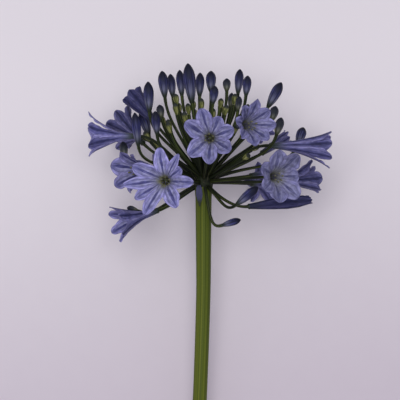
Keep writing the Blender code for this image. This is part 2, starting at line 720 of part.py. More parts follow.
def build_green_stem(material, ends):
    """The scape with its receptacle, and every pedicel sunk into it, as one body."""
    identity = Matrix.Identity(4)
    vertices, faces = ring_tube(scape_rings(), Vector((0, RECEPTACLE_TOP, 0)))
    places = [HEAD.point(vertex) for vertex in vertices]
    stem = add_object("scape_and_pedicels", places, faces, identity, material)
    tubes = []
    for foot, axis, via in ends:
        control = pedicel_control(foot, axis, via)
        tubes.append(ring_tube(swept_rings(control, pedicel_radii(via), PEDICEL_SIDES)))
    for place, tip_place in GREEN_BUDS:
        foot, tip = Vector(place), Vector(tip_place)
        control = pedicel_control(foot, tip - foot, ())
        stalk = swept_rings(control, pedicel_radii(())[1:], PEDICEL_SIDES)
        tubes.append(ring_tube(stalk[:-1] + green_bud_rings(foot, tip)))
    pieces = []
    for vertices, faces in tubes:
        places = [HEAD.point(vertex) for vertex in vertices]
        pieces.append(add_object("pedicel", places, faces, identity, material))
    fuse(stem, pieces, "scape")
    keep_largest_shell(stem)
    smooth(stem)


def build_bract(material):
    """The bract: a short blade that hangs in front of the scape, bowed towards it."""
    rings = []
    for place, half_width in zip(BRACT_LINE, BRACT_HALF_WIDTH):
        section = ((-half_width, BRACT_BACK_EDGE), (0, BRACT_BACK_MIDDLE), (half_width, BRACT_BACK_EDGE),
                   (half_width, BRACT_FRONT_EDGE), (0, BRACT_FRONT_MIDDLE), (-half_width, BRACT_FRONT_EDGE))
        rings.append([Vector(place) + Vector((across, 0, out)) for across, out in section])
    vertices, faces = ring_tube(rings)
    places = [HEAD.point(vertex) for vertex in vertices]
    obj = add_object("bract", places, faces, Matrix.Identity(4), material)
    smooth(obj)


def centre_on_surface():
    """Hangs every piece on one empty that brings the middle of the plant's base to the origin."""
    bpy.context.view_layer.update()
    pieces = [obj for obj in bpy.context.scene.objects if obj.type == "MESH"]
    corners = [obj.matrix_world @ vertex.co for obj in pieces for vertex in obj.data.vertices]
    low = Vector([min(corner[axis] for corner in corners) for axis in range(3)])
    high = Vector([max(corner[axis] for corner in corners) for axis in range(3)])
    plant = bpy.data.objects.new("plant", None)
    bpy.context.scene.collection.objects.link(plant)
    for obj in pieces:
        obj.parent = plant
    plant.location = (-(low.x + high.x) / 2, -(low.y + high.y) / 2, -low.z)
    bpy.context.view_layer.update()


def main():
    """Builds every piece of the cut stem from the tables."""
    for obj in list(bpy.data.objects):
        bpy.data.objects.remove(obj, do_unlink=True)
    draw = random.Random(RANDOM_SEED)
    green = add_material("green_stem", (0.16, 0.21, 0.045), 0.5)
    petal = add_material("petal_blue", (0.33, 0.33, 0.66), 0.6)
    bud_blue = add_material("bud_blue", (0.16, 0.19, 0.34), 0.5)
    dry = add_material("bract_dry", (0.16, 0.17, 0.24), 0.7)
    ends = []
    for floret in FLORETS:
        foot, facing = build_floret(floret, petal, draw)
        ends.append((foot, facing, floret.via))
    for bud in BUDS:
        foot, axis = build_bud(bud, bud_blue)
        ends.append((foot, axis, bud.via))
    build_green_stem(green, ends)
    build_bract(dry)
    centre_on_surface()


if __name__ == "__main__":
    main()
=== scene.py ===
"""Looks of a cut agapanthus flower stem that lies on a pale surface.

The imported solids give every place. Each floret, each bud, the bract and the green stem get
one finely shaped piece that stands for their solid: thin waved petals with a dark midrib and
pale margins, ribbed buds, striped stalks, stamens and the cut end. Lengths are in millimetres
until a piece is made, and the head's own directions are u across, v along the scape and n out
of the head's front.
"""

import logging
import math
import random
from collections.abc import Callable
from dataclasses import dataclass, field
from enum import Enum
from functools import cached_property

import bpy
import numpy as np
from mathutils import Matrix, Vector


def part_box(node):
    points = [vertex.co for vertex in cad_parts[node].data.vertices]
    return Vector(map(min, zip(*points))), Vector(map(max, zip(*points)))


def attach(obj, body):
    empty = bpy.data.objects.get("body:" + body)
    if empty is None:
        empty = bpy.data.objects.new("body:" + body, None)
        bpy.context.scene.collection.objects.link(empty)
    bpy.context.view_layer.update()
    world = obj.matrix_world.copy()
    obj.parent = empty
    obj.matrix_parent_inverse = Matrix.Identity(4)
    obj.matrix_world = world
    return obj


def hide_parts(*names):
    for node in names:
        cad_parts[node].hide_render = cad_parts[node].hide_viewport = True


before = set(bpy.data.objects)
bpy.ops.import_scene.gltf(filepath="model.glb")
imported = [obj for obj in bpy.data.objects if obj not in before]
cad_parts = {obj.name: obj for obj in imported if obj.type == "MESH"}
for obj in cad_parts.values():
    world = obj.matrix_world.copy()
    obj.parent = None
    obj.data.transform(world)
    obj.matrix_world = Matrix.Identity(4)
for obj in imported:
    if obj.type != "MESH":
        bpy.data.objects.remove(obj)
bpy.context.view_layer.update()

LOG = logging.getLogger("agapanthus")
MM = 0.001
SURFACE_GAP = 0.02
SHARP_ANGLE = math.radians(58)

# Marks at every point. On a petal: from foot to tip, from edge to edge, 1 on the upper face,
# its tone, which is partly its own colour and partly painted light and shade, and how pale its
# streaks are. On a round part: from root to tip, the two directions round it, its tone, which
# on buds is partly painted shade, and its ribs.
MARKS = ("along", "across", "inner", "tone", "rib")

Triple = tuple[float, float, float]
Placing = Callable[[np.ndarray], np.ndarray]


class Slot(Enum):
    """The material slots."""

    GREEN = "green_stem"
    PETAL = "blue_tepal"
    BUD = "blue_bud"
    BRACT = "dry_bract"


class Cap(Enum):
    """How the end of a tube of points is closed."""

    FAN = "to a point in the ring's middle"
    STRIP = "straight across, from each point to its twin on the other face"


def tint(red: float, green: float, blue: float) -> tuple[float, float, float, float]:
    """Turns a colour as a screen shows it into the light that it stands for.

    Args:
        red: Its red, from 0 to 255.
        green: Its green, from 0 to 255.
        blue: Its blue, from 0 to 255.

    Returns:
        The light's red, green and blue from 0 to 1, and an opacity of 1.
    """
    shares = [channel / 255 for channel in (red, green, blue)]
    linear = [s / 12.92 if s <= 0.04045 else ((s + 0.055) / 1.055) ** 2.4 for s in shares]
    return (*linear, 1.0)


def smooth_step(values: np.ndarray, low: float, high: float) -> np.ndarray:
    """Rises smoothly from 0 at low to 1 at high."""
    share = np.clip((values - low) / (high - low), 0.0, 1.0)
    return share * share * (3 - 2 * share)


@dataclass(frozen=True)
class Value:
    """One output socket of a graph, which takes part in sums as a number does."""

    graph: "Graph"
    socket: bpy.types.NodeSocket

    def joined(self, operation: str, first: "Feed", second: "Feed") -> "Value":
        """Adds the Math node of one sum."""
        return self.graph.node("ShaderNodeMath", {"operation": operation}, {0: first, 1: second})

    def __add__(self, other: "Feed") -> "Value":
        """Self plus other."""
        return self.joined("ADD", self, other)

    def __radd__(self, other: "Feed") -> "Value":
        """Other plus self."""
        return self.joined("ADD", other, self)

    def __sub__(self, other: "Feed") -> "Value":
        """Self minus other."""
        return self.joined("SUBTRACT", self, other)

    def __rsub__(self, other: "Feed") -> "Value":
        """Other minus self."""
        return self.joined("SUBTRACT", other, self)

    def __mul__(self, other: "Feed") -> "Value":
        """Self times other."""
        return self.joined("MULTIPLY", self, other)

    def __rmul__(self, other: "Feed") -> "Value":
        """Other times self."""
        return self.joined("MULTIPLY", other, self)

    def __abs__(self) -> "Value":
        """Self without its sign."""
        return self.joined("ABSOLUTE", self, 0.0)

    def __or__(self, other: "Feed") -> "Value":
        """The greater of self and other, as masks that cover either."""
        return self.joined("MAXIMUM", self, other)


Feed = Value | float | tuple


class Graph:
    """The node tree of one material."""

    def __init__(self, name: str) -> None:
        """Starts a material with an empty node tree.

        Args:
            name: The material's name.
        """
        self.material = bpy.data.materials.new(name)
        self.material.use_nodes = True
        self.tree = self.material.node_tree
        self.tree.nodes.clear()

    def node(
        self, kind: str, settings: dict | None = None, feeds: dict | None = None, output: int | str = 0
    ) -> Value:
        """Adds one node.

        Args:
            kind: The node's type name.
            settings: Its own settings, which are set first.
            feeds: What each of its sockets gets: a value to link, or a plain number or colour.
            output: The number or name of the socket that it gives.

        Returns:
            The output socket, ready for sums.
        """
        made = self.tree.nodes.new(kind)
        for key, setting in (settings or {}).items():
            setattr(made, key, setting)
        for key, feed in (feeds or {}).items():
            if isinstance(feed, Value):
                self.tree.links.new(feed.socket, made.inputs[key])
            else:
                made.inputs[key].default_value = feed
        return Value(self, made.outputs[output])

    def mark(self, name: str) -> Value:
        """Reads one of the marks that the mesh carries at its points."""
        return self.node("ShaderNodeAttribute", {"attribute_name": name}, output="Fac")

    def rise(self, value: Feed, low: float, high: float) -> Value:
        """A smooth mask: 0 where the value is at low, 1 where it is at high."""
        settings = {"interpolation_type": "SMOOTHSTEP", "clamp": True}
        return self.node("ShaderNodeMapRange", settings, {0: value, 1: low, 2: high, 3: 0.0, 4: 1.0})

    def blend(self, mask: Feed, first: Feed, second: Feed) -> Value:
        """A colour that goes from first to second as the mask goes from 0 to 1."""
        return self.node("ShaderNodeMix", {"data_type": "RGBA"}, {0: mask, 6: first, 7: second}, 2)

    def layers(self, colour: Feed, *coats: tuple[Feed, Feed]) -> Value:
        """Lays coats over a colour, one after the other.

        Args:
            colour: The colour under them all.
            coats: For each coat its mask, which is 1 where it covers, and its colour.

        Returns:
            The colour that shows.
        """
        for mask, coat in coats:
            colour = self.blend(mask, colour, coat)
        return colour

    def scaled(self, colour: Feed, factor: Feed) -> Value:
        """A colour made brighter or darker by a factor."""
        return self.node("ShaderNodeVectorMath", {"operation": "SCALE"}, {0: colour, 3: factor})

    def vector(self, first: Feed, second: Feed, third: Feed) -> Value:
        """A vector from three values."""
        return self.node("ShaderNodeCombineXYZ", None, {0: first, 1: second, 2: third})

    def place(self) -> Value:
        """The point's own place in the piece, in metres."""
        return self.node("ShaderNodeTexCoord", None, None, "Object")

    def noise(self, vector: Feed, scale: float, detail: float = 2.0) -> Value:
        """Soft noise around 0.5."""
        return self.node("ShaderNodeTexNoise", None, {"Vector": vector, "Scale": scale, "Detail": detail})

    def relief(self, height: Feed, strength: float, depth: float) -> Value:
        """A bumped normal.

        Args:
            height: The relief, from 0 to 1.
            strength: How much of it shows, from 0 to 1.
            depth: Its depth in millimetres.

        Returns:
            The normal socket.
        """
        feeds = {"Strength": strength, "Distance": depth * MM, "Height": height}
        return self.node("ShaderNodeBump", None, feeds)

    def close(self, **feeds: Feed) -> bpy.types.Material:
        """Adds the surface shader and the output.

        Args:
            feeds: Shader sockets by name, with _ for a space.

        Returns:
            The finished material.
        """
        named = {key.replace("_", " "): feed for key, feed in feeds.items()}
        surface = self.node("ShaderNodeBsdfPrincipled", None, named)
        ending = self.tree.nodes.new("ShaderNodeOutputMaterial")
        self.tree.links.new(surface.socket, ending.inputs["Surface"])
        return self.material


@dataclass(frozen=True)
class PetalFinish:
    """Soft violet-blue petal: pale margins, a dark midrib, fine veins and an olive throat."""

    body: tuple = tint(92, 92, 142)
    margin: tuple = tint(160, 156, 210)
    pale: tuple = tint(172, 171, 204)
    midrib: tuple = tint(52, 52, 106)
    outer_body: tuple = tint(82, 82, 130)
    outer_margin: tuple = tint(136, 133, 180)
    outer_midrib: tuple = tint(24, 27, 66)
    throat: tuple = tint(150, 150, 104)
    grey: tuple = tint(104, 106, 128)
    wash: tuple = tint(134, 135, 162)
    # Painted light: the pale colour laid in the throats of washed florets.
    painted_throat_light: tuple = tint(196, 197, 186)
    base: tuple = tint(58, 66, 66)
    # Painted shade: the dark indigo laid along petal edges and tips.
    painted_rim_shade: tuple = tint(34, 36, 76)
    # Painted shade: the indigo that florets of low tone turn towards.
    painted_shade_indigo: tuple = tint(52, 56, 134)
    vein_count: float = 5.0
    vein_depth: float = 0.12

    def material(self) -> bpy.types.Material:
        """Builds the petal material.

        Returns:
            The material.
        """
        graph = Graph("petal")
        along, across, inner, tone, wash = (graph.mark(name) for name in MARKS)
        edge = abs(across)
        streaks = graph.noise(graph.vector(across * 5.0, along * 3.0, tone * 41.0), 1.6, 3.0)
        threads = graph.noise(graph.vector(across * 13.0, along * 4.0, tone * 67.0), 1.5, 2.0)
        patches = graph.noise(graph.vector(across * 1.6, along * 7.0, tone * 23.0), 1.5, 3.0)
        wave = graph.node("ShaderNodeMath", {"operation": "SINE"}, {0: edge * (math.tau * self.vein_count)})
        veins = wave * 0.5 + 0.5
        sway, flutter = streaks - 0.5, threads - 0.5
        shifted, threaded = edge + sway * 0.5, edge + flutter * 0.5
        margin = graph.rise(shifted, 0.4, 0.9) | graph.rise(along, 0.92, 1.0) * 0.5
        fine = veins * 0.2 + sway * 2.6 + flutter * 2.4 - 0.1

        beside_midrib = graph.rise(shifted, 0.1, 0.28) * graph.rise(threaded, 0.7, 0.36)
        reach = graph.rise(along, 0.24, 0.5) * graph.rise(along, 1.02, 0.86)
        middle = graph.rise(shifted, 0.24, 0.05) * reach
        side_veins = graph.rise(abs(shifted - 0.46), 0.1, 0.02) * graph.rise(along, 0.9, 0.7)
        upper = graph.layers(
            self.body,
            (margin * 0.7 + fine * 0.5, self.margin),
            (beside_midrib * graph.rise(along, 0.98, 0.66) * 0.6, self.pale),
            (middle * (threads * 0.6 + 0.5) | side_veins * streaks * 0.7, self.midrib),
            (graph.rise(along, 0.62, 0.34) * 0.75, self.grey),
            (graph.rise(along, 0.46, 0.3), self.throat),
            (wash * (streaks * 2.0 - 0.3), self.wash),
            # Painted light: in washed florets the throat is made pale, standing for light that reaches down
            # the tube.
            (wash * graph.rise(along, 0.66, 0.4) * 0.8, self.painted_throat_light),
        )

        wide_midrib = graph.rise(shifted, 0.36, 0.06) * graph.rise(along, 0.16, 0.4)
        lower = graph.layers(
            self.outer_body,
            (margin * 0.7 + fine * 0.6, self.outer_margin),
            (wide_midrib * 0.8, self.outer_midrib),
            (graph.rise(along, 0.34, 0.06), self.base),
        )

        # Painted shade: petal edges and tips are darkened towards indigo, as their turned edges look in
        # shade.
        painted_edge_shade = graph.rise(edge + sway * 0.12, 0.9, 1.0) | graph.rise(along, 0.965, 1.0)
        colour = graph.layers(
            graph.blend(inner, lower, upper),
            (painted_edge_shade * graph.rise(along, 0.4, 0.7) * 0.45, self.painted_rim_shade),
            # Painted shade: florets of low tone, those lying in shade, are turned towards indigo.
            (graph.rise(tone, 0.3, -0.25) * 0.6, self.painted_shade_indigo),
        )
        mottle = graph.rise(patches, 0.25, 0.75) * 0.6 + threads * 0.5 + 0.45
        # Brightness by tone: partly the floret's own paler or darker blue, partly painted light and shade,
        # low for florets that lie in shade.
        colour = graph.scaled(colour, (tone * 1.1 + 0.45) * mottle)
        normal = graph.relief(veins * 0.3 + streaks * 0.3 + threads * 0.4, 0.8, self.vein_depth)
        return graph.close(
            Base_Color=colour, Roughness=0.52 + streaks * 0.15, Normal=normal, Specular_IOR_Level=0.22,
            Subsurface_Weight=0.1, Subsurface_Radius=(0.6, 0.6, 1.0), Subsurface_Scale=0.0008,
        )


@dataclass(frozen=True)
class BudFinish:
    """Satin bud: slate blue with a darker tip, pale between its ribs and green at its foot."""

    name: str = "bud"
    tip: tuple = tint(18, 21, 42)
    body: tuple = tint(86, 88, 150)
    pale: tuple = tint(122, 124, 146)
    rib: tuple = tint(26, 30, 66)
    foot: tuple = tint(38, 48, 34)

    def material(self) -> bpy.types.Material:
        """Builds the bud material.

        Returns:
            The material.
        """
        graph = Graph(self.name)
        along, across, inner, tone, rib = (graph.mark(name) for name in MARKS)
        streaks = graph.noise(graph.vector(across * 4.0, inner * 4.0, along * 1.4 + tone * 19.0), 1.2, 3.0)
        sway = streaks - 0.5
        colour = graph.layers(
            self.rib,
            (graph.rise(streaks, 0.4, 0.64), self.body),
            (graph.rise(along + sway * 0.4, 0.56, 0.24) * 0.8, self.pale),
            (graph.rise(rib + sway * 1.2, 0.1, 0.95) * 0.75, self.rib),
            (graph.rise(along + sway * 0.24, 0.54, 0.92), self.tip),
            (graph.rise(along + sway * 0.16, 0.34, 0.04), self.foot),
        )
        # Brightness by tone: partly the bud's own colour, partly painted shade, low for buds that lie behind.
        colour = graph.scaled(colour, (tone * 0.6 + 0.56) * (streaks * 0.9 + 0.55))
        normal = graph.relief(streaks, 0.6, 0.1)
        return graph.close(
            Base_Color=colour, Roughness=0.5 + streaks * 0.16, Normal=normal, Specular_IOR_Level=0.22
        )


@dataclass(frozen=True)
class StalkFinish:
    """Satin green stalk with lengthwise stripes that differ in tone.

    Its stripes have a fineness round it and along it. Its root may be darkened as painted shade deep in the
    head, and its tip of another colour.
    """

    name: str
    dark: tuple
    middle: tuple
    light: tuple
    stripe: float
    run: float
    rib_depth: float
    painted_root_shade: float = 0.0
    tip: tuple | None = None

    def material(self) -> bpy.types.Material:
        """Builds the stalk material.

        Returns:
            The material.
        """
        graph = Graph(self.name)
        along, across, inner, tone, rib = (graph.mark(name) for name in MARKS)
        broad = graph.vector(across * self.stripe, inner * self.stripe, along * self.run + tone * 31.0)
        stripes = graph.noise(broad, 1.0, 2.0)
        fine = graph.vector(across * 9.0, inner * 9.0, along * self.run * 2.0 + tone)
        threads = graph.noise(fine, 1.0, 3.0)
        specks = graph.noise(graph.place(), 900.0, 2.0)
        coats = [
            (graph.rise(stripes + (threads - 0.5) * 0.35, 0.36, 0.64), self.middle),
            (graph.rise(stripes + rib * 0.12, 0.52, 0.74) * 0.7, self.light),
        ]
        if self.tip:
            coats.append((graph.rise(along + (stripes - 0.5) * 0.3, 0.56, 0.86), self.tip))
        colour = graph.layers(self.dark, *coats)
        # Painted shade: the stalk is darker towards its root, deep in the head, and lighter towards its tip.
        outwards = graph.rise(along, 0.0, 0.5) + graph.rise(along, 0.5, 0.95) * 0.5
        light = outwards * self.painted_root_shade + (1 - self.painted_root_shade)
        colour = graph.scaled(colour, (specks * 0.3 + 0.85) * light)
        normal = graph.relief(threads * 0.7 + specks * 0.3, 0.7, self.rib_depth)
        return graph.close(
            Base_Color=colour, Roughness=0.5 + threads * 0.18, Normal=normal, Specular_IOR_Level=0.22
        )


@dataclass(frozen=True)
class PlainFinish:
    """A small part of one colour that is mottled towards a second."""

    name: str
    first: tuple
    second: tuple
    grain: float
    roughness: float

    def material(self) -> bpy.types.Material:
        """Builds the mottled material.

        Returns:
            The material.
        """
        graph = Graph(self.name)
        spots = graph.noise(graph.place(), self.grain, 3.0)
        colour = graph.blend(graph.rise(spots, 0.38, 0.64), self.first, self.second)
        normal = graph.relief(spots, 0.6, 0.08)
        return graph.close(
            Base_Color=colour, Roughness=self.roughness + spots * 0.15, Normal=normal, Specular_IOR_Level=0.25
        )


@dataclass(frozen=True)
class CutFinish:
    """The cut end: pale green pith with darker bundles and a green rind."""

    pith: tuple = tint(176, 186, 132)
    bundle: tuple = tint(104, 122, 62)
    rind: tuple = tint(84, 98, 42)

    def material(self) -> bpy.types.Material:
        """Builds the cut face's material.

        Returns:
            The material.
        """
        graph = Graph("cut_end")
        along = graph.mark("along")
        cells = graph.node("ShaderNodeTexVoronoi", None, {"Vector": graph.place(), "Scale": 1100.0})
        damp = graph.noise(graph.place(), 500.0, 3.0)
        colour = graph.layers(
            self.pith,
            (graph.rise(cells, 0.32, 0.12) * 0.75, self.bundle),
            (graph.rise(along + (damp - 0.5) * 0.1, 0.82, 0.93), self.rind),
        )
        normal = graph.relief(cells * 0.6 + damp * 0.4, 0.7, 0.15)
        return graph.close(Base_Color=colour, Roughness=0.3 + damp * 0.25, Normal=normal)


@dataclass(frozen=True)
class BractFinish:
    """Dry bract: slate and lilac at its root, dull green towards its tip, finely lined."""

    root: tuple = tint(46, 48, 84)
    pale: tuple = tint(84, 84, 122)
    tip: tuple = tint(38, 46, 28)

    def material(self) -> bpy.types.Material:
        """Builds the bract material.

        Returns:
            The material.
        """
        graph = Graph("bract")
        along, across = graph.mark("along"), graph.mark("across")
        lines = graph.noise(graph.vector(across * 7.0, along * 1.5, 0.0), 1.4, 3.0)
        colour = graph.layers(
            self.root,
            (graph.rise(lines, 0.4, 0.62), self.pale),
            (graph.rise(along + (lines - 0.5) * 0.3, 0.6, 0.86), self.tip),
        )
        normal = graph.relief(lines, 0.8, 0.2)
        return graph.close(Base_Color=colour, Roughness=0.62 + lines * 0.2, Normal=normal)


class Palette:
    """Every finish of the flower stem, built once."""

    def __init__(self) -> None:
        """Builds all materials."""
        self.petal = PetalFinish().material()
        self.bud = BudFinish().material()
        self.young_bud = BudFinish(
            "young_bud", tint(22, 26, 44), tint(92, 94, 110), tint(134, 136, 116), tint(40, 46, 54),
            tint(62, 70, 36),
        ).material()
        self.scape = StalkFinish(
            "scape", tint(56, 70, 8), tint(88, 100, 22), tint(106, 112, 34), 2.2, 0.5, 0.1
        ).material()
        # The pedicels' near-black greens are partly their own colour and partly painted shade of the crowded
        # head; their roots are darkened further.
        self.pedicel = StalkFinish(
            "pedicel", tint(14, 20, 10), tint(38, 48, 18), tint(88, 98, 38), 1.6, 1.2, 0.06, 0.55
        ).material()
        self.green_bud = StalkFinish(
            "green_bud", tint(72, 80, 38), tint(136, 138, 76), tint(184, 182, 130), 1.6, 1.6, 0.06,
            tip=tint(40, 46, 44),
        ).material()
        # The receptacle's near-black green is partly its own colour and partly painted shade of the head's
        # crowded middle.
        self.receptacle = PlainFinish("receptacle", tint(14, 20, 10), tint(34, 42, 18), 420.0, 0.5).material()
        self.bracteole = PlainFinish("bracteole", tint(30, 36, 20), tint(74, 70, 54), 600.0, 0.6).material()
        self.foot = PlainFinish("floret_foot", tint(30, 40, 22), tint(54, 64, 52), 500.0, 0.45).material()
        self.ovary = PlainFinish("ovary", tint(118, 128, 76), tint(150, 156, 108), 700.0, 0.4).material()
        self.filament = PlainFinish(
            "filament", tint(104, 104, 122), tint(126, 125, 142), 600.0, 0.45
        ).material()
        self.anther = PlainFinish("anther", tint(100, 100, 76), tint(128, 126, 96), 1500.0, 0.7).material()
        self.cut = CutFinish().material()
        self.bract = BractFinish().material()


@dataclass
class Draft:
    """Gathers one piece's points, faces and marks before they become a mesh."""

    name: str
    points: list[np.ndarray] = field(default_factory=list)
    faces: list[list[int]] = field(default_factory=list)
    finish_of: list[int] = field(default_factory=list)
    finishes: list[bpy.types.Material] = field(default_factory=list)
    marks: dict[str, list[np.ndarray]] = field(default_factory=lambda: {name: [] for name in MARKS})
    count: int = 0

    def tube(
        self,
        rings: np.ndarray,
        finish: bpy.types.Material,
        marks: dict[str, np.ndarray | float],
        start: Cap = Cap.FAN,
        end: Cap = Cap.FAN,
        bulge: float = 0.0,
    ) -> None:
        """Adds a closed tube through rings of equal count.

        Args:
            rings: Points in millimetres, as levels by sides by three.
            finish: The tube's material.
            marks: The marks of its points, as levels by sides, a column of levels, or one number.
            start: How its first ring is closed.
            end: How its last ring is closed.
            bulge: How far the last ring's middle point stands out.
        """
        levels, sides = rings.shape[:2]
        numbers = self.count + np.arange(levels * sides).reshape(levels, sides)
        after = np.roll(numbers, -1, axis=1)
        quads = np.stack((numbers[:-1], after[:-1], after[1:], numbers[1:]), axis=-1).reshape(-1, 4)
        faces = quads.tolist()
        points = [rings.reshape(-1, 3)]
        extra: list[tuple[int, np.ndarray]] = []
        for level, cap in ((0, start), (levels - 1, end)):
            ring = numbers[level]
            if cap is Cap.STRIP:
                half = sides // 2
                twins = ring[::-1]
                strip = [[ring[i + 1], ring[i], twins[i], twins[i + 1]] for i in range(half - 1)]
            else:
                middle = self.count + levels * sides + len(extra)
                centre = rings[level].mean(axis=0)
                if bulge and level:
                    way = centre - rings[level - 1].mean(axis=0)
                    centre = centre + way / max(np.linalg.norm(way), 1e-6) * bulge
                extra.append((level, centre))
                strip = [[after[level, i], ring[i], middle] for i in range(sides)]
            faces += [list(map(int, row if level == 0 else row[::-1])) for row in strip]
        if extra:
            points.append(np.array([centre for _, centre in extra]))
        joined = np.concatenate(points)
        corners = joined[quads - self.count] - joined.mean(axis=0)
        volume = np.einsum("ij,ij->", corners[:, 0], np.cross(corners[:, 1], corners[:, 2]))
        volume += np.einsum("ij,ij->", corners[:, 0], np.cross(corners[:, 2], corners[:, 3]))
        if volume < 0:
            faces = [row[::-1] for row in faces]
        self.points.append(joined)
        self.faces += faces
        if finish not in self.finishes:
            self.finishes.append(finish)
        self.finish_of += [self.finishes.index(finish)] * len(faces)
        for name in MARKS:
            given = np.asarray(marks.get(name, 0.0), float)
            grid = np.broadcast_to(given if given.ndim != 1 else given[:, None], (levels, sides))
            column = [grid.reshape(-1), *(np.array([grid[level].mean()]) for level, _ in extra)]
            self.marks[name].append(np.concatenate(column))
        self.count += len(joined)

    def round(
        self,
        rings: np.ndarray,
        finish: bpy.types.Material,
        tone: float = 0.5,
        ribs: int = 3,
        along: np.ndarray | None = None,
        bulge: float = 0.0,
    ) -> None:
        """Adds a closed round tube and works out its marks.

        Args:
            rings: Points in millimetres, as levels by sides by three.
            finish: The tube's material.
            tone: The tube's own tone.
            ribs: How many ribs its marks have round it.
            along: How far along each ring lies, from 0 to 1, or None for even steps.
            bulge: How far the last ring's middle point stands out.
        """
        levels, sides = rings.shape[:2]
        turns = turned(sides)[None]
        marks = {
            "along": np.linspace(0, 1, levels) if along is None else along,
            "across": np.cos(turns),
            "inner": np.sin(turns),
            "tone": tone,
            "rib": np.cos(ribs * turns),
        }
        self.tube(rings, finish, marks, bulge=bulge)

    def piece(self, slot: Slot, *nodes: str) -> bpy.types.Object:
        """Makes the mesh object, which rides on the root body and stands for its nodes.

        Args:
            slot: A material slot; it is not used.
            nodes: The CAD nodes that it stands for.

        Returns:
            The new object.
        """
        mesh = bpy.data.meshes.new(self.name)
        mesh.from_pydata((np.concatenate(self.points) * MM).tolist(), [], self.faces)
        for finish in self.finishes:
            mesh.materials.append(finish)
        mesh.polygons.foreach_set("material_index", self.finish_of)
        for name in MARKS:
            layer = mesh.attributes.new(name, "FLOAT", "POINT")
            layer.data.foreach_set("value", np.concatenate(self.marks[name]).astype(np.float32))
        mesh.shade_smooth()
        mesh.set_sharp_from_angle(angle=SHARP_ANGLE)
        mesh.update()
        made = bpy.data.objects.new(self.name, mesh)
        bpy.context.scene.collection.objects.link(made)
        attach(made, "root")
        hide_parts(*nodes)
        LOG.info("%s: %d faces for %s", self.name, len(self.faces), ", ".join(nodes))
        return made


def unit(vector: np.ndarray) -> np.ndarray:
    """The vector's direction, at length 1."""
    return vector / np.linalg.norm(vector)


@dataclass(frozen=True)
class Head:
    """The umbel's own directions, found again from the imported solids."""

    scape_length: float = 290.0
    cut_radius: float = 5.6
    tilt: float = math.radians(11.0)
    bract_reach: float = 5.7

    @cached_property
    def turn(self) -> np.ndarray:
        """A matrix whose columns are u, v and n in the part's frame."""
        sine, cosine = math.sin(self.tilt), math.cos(self.tilt)
        return np.array(((1.0, 0.0, 0.0), (0.0, cosine, -sine), (0.0, sine, cosine)))

    @cached_property
    def hub(self) -> np.ndarray:
        """Finds the receptacle's centre from the box of the scape's cut end and the bract's side.

        Returns:
            The centre in the part's frame, in millimetres.
        """
        low_stem, low_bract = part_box("scape_and_pedicels")[0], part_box("bract")[0]
        sine, cosine = math.sin(self.tilt), math.cos(self.tilt)
        across = low_bract[0] / MM + self.bract_reach
        along = low_stem[1] / MM + self.scape_length * cosine + self.cut_radius * sine
        height = self.scape_length * sine + self.cut_radius * cosine
        return np.array((across, along, height))

    def points(self, places: np.ndarray) -> np.ndarray:
        """Turns head places into places in the part's frame, in millimetres."""
        return np.asarray(places, float) @ self.turn.T + self.hub

    def axes(self, facing: np.ndarray) -> np.ndarray:
        """Finds the axes of something that faces a way.

        Args:
            facing: The way it faces, in the head's directions.

        Returns:
            A matrix whose columns are its x, y and z, with z the way it faces.
        """
        z_axis = unit(facing)
        guide = np.array((1.0, 0.0, 0.0)) if abs(z_axis[0]) < 0.85 else np.array((0.0, 0.0, 1.0))
        x_axis = unit(guide - z_axis * guide.dot(z_axis))
        return np.stack((x_axis, np.cross(z_axis, x_axis), z_axis), axis=1)


HEAD = Head()


def circle(radius: np.ndarray | float, turns: np.ndarray) -> np.ndarray:
    """Finds points on circles round z.

    Args:
        radius: The radius of each circle, or one radius.
        turns: The angles of its points.

    Returns:
        The circles' points at height 0, as circles by angles by three.
    """
    radius = np.atleast_1d(np.asarray(radius, float))[:, None]
    across = radius * np.cos(turns)
    return np.stack((across, radius * np.sin(turns), np.zeros_like(across)), -1)


def turned(sides: int) -> np.ndarray:
    """The angles of a ring's points."""
    return np.linspace(0, 2 * math.pi, sides, endpoint=False)


def heading(angle: float) -> np.ndarray:
    """The direction at an angle round z."""
    return np.array((math.cos(angle), math.sin(angle), 0.0))


def crowded(count: int, power: float) -> np.ndarray:
    """Shares from 0 to 1 that lie closer together towards 1."""
    return 1 - (1 - np.linspace(0, 1, count)) ** power


def lathed(profile: tuple[tuple[float, float], ...], sides: int) -> np.ndarray:
    """Turns a profile round z.

    Args:
        profile: Its heights and radii.
        sides: How many points a ring has.

    Returns:
        Ring points, as levels by sides by three.
    """
    heights, radii = np.array(profile).T
    rings = circle(radii, turned(sides))
    rings[..., 2] = heights[:, None]
    return rings


def bezier(control: np.ndarray, shares: np.ndarray) -> np.ndarray:
    """Finds points on a Bezier curve of any degree.

    Args:
        control: The curve's control points, of which it meets the first and the last.
        shares: How far along the curve each point lies, from 0 to 1.

    Returns:
        The points.
    """
    rows = [np.repeat(point[None], len(shares), axis=0) for point in control]
    share = shares[:, None]
    while len(rows) > 1:
        rows = [a * (1 - share) + b * share for a, b in zip(rows, rows[1:])]
    return rows[0]


def swept(control: np.ndarray, radii: np.ndarray, sides: int) -> np.ndarray:
    """Sets rings at even steps along a Bezier curve, without twist.

    Args:
        control: The curve's points.
        radii: The radius at each ring.
        sides: How many points a ring has.

    Returns:
        Ring points, as levels by sides by three.
    """
    shares = np.linspace(0, 1, len(radii))
    centres = bezier(control, shares)
    ways = np.gradient(centres, axis=0)
    ways /= np.linalg.norm(ways, axis=1)[:, None]
    guide = np.array((0.0, 0.0, 1.0)) if abs(ways[0][2]) < 0.9 else np.array((1.0, 0.0, 0.0))
    side = np.cross(ways[0], guide)
    rings = []
    for centre, way, radius in zip(centres, ways, radii):
        side = unit(side - way * side.dot(way))
        other = np.cross(way, side)
        turns = turned(sides)
        rings.append(centre + radius * (np.outer(np.cos(turns), side) + np.outer(np.sin(turns), other)))
    return np.array(rings)


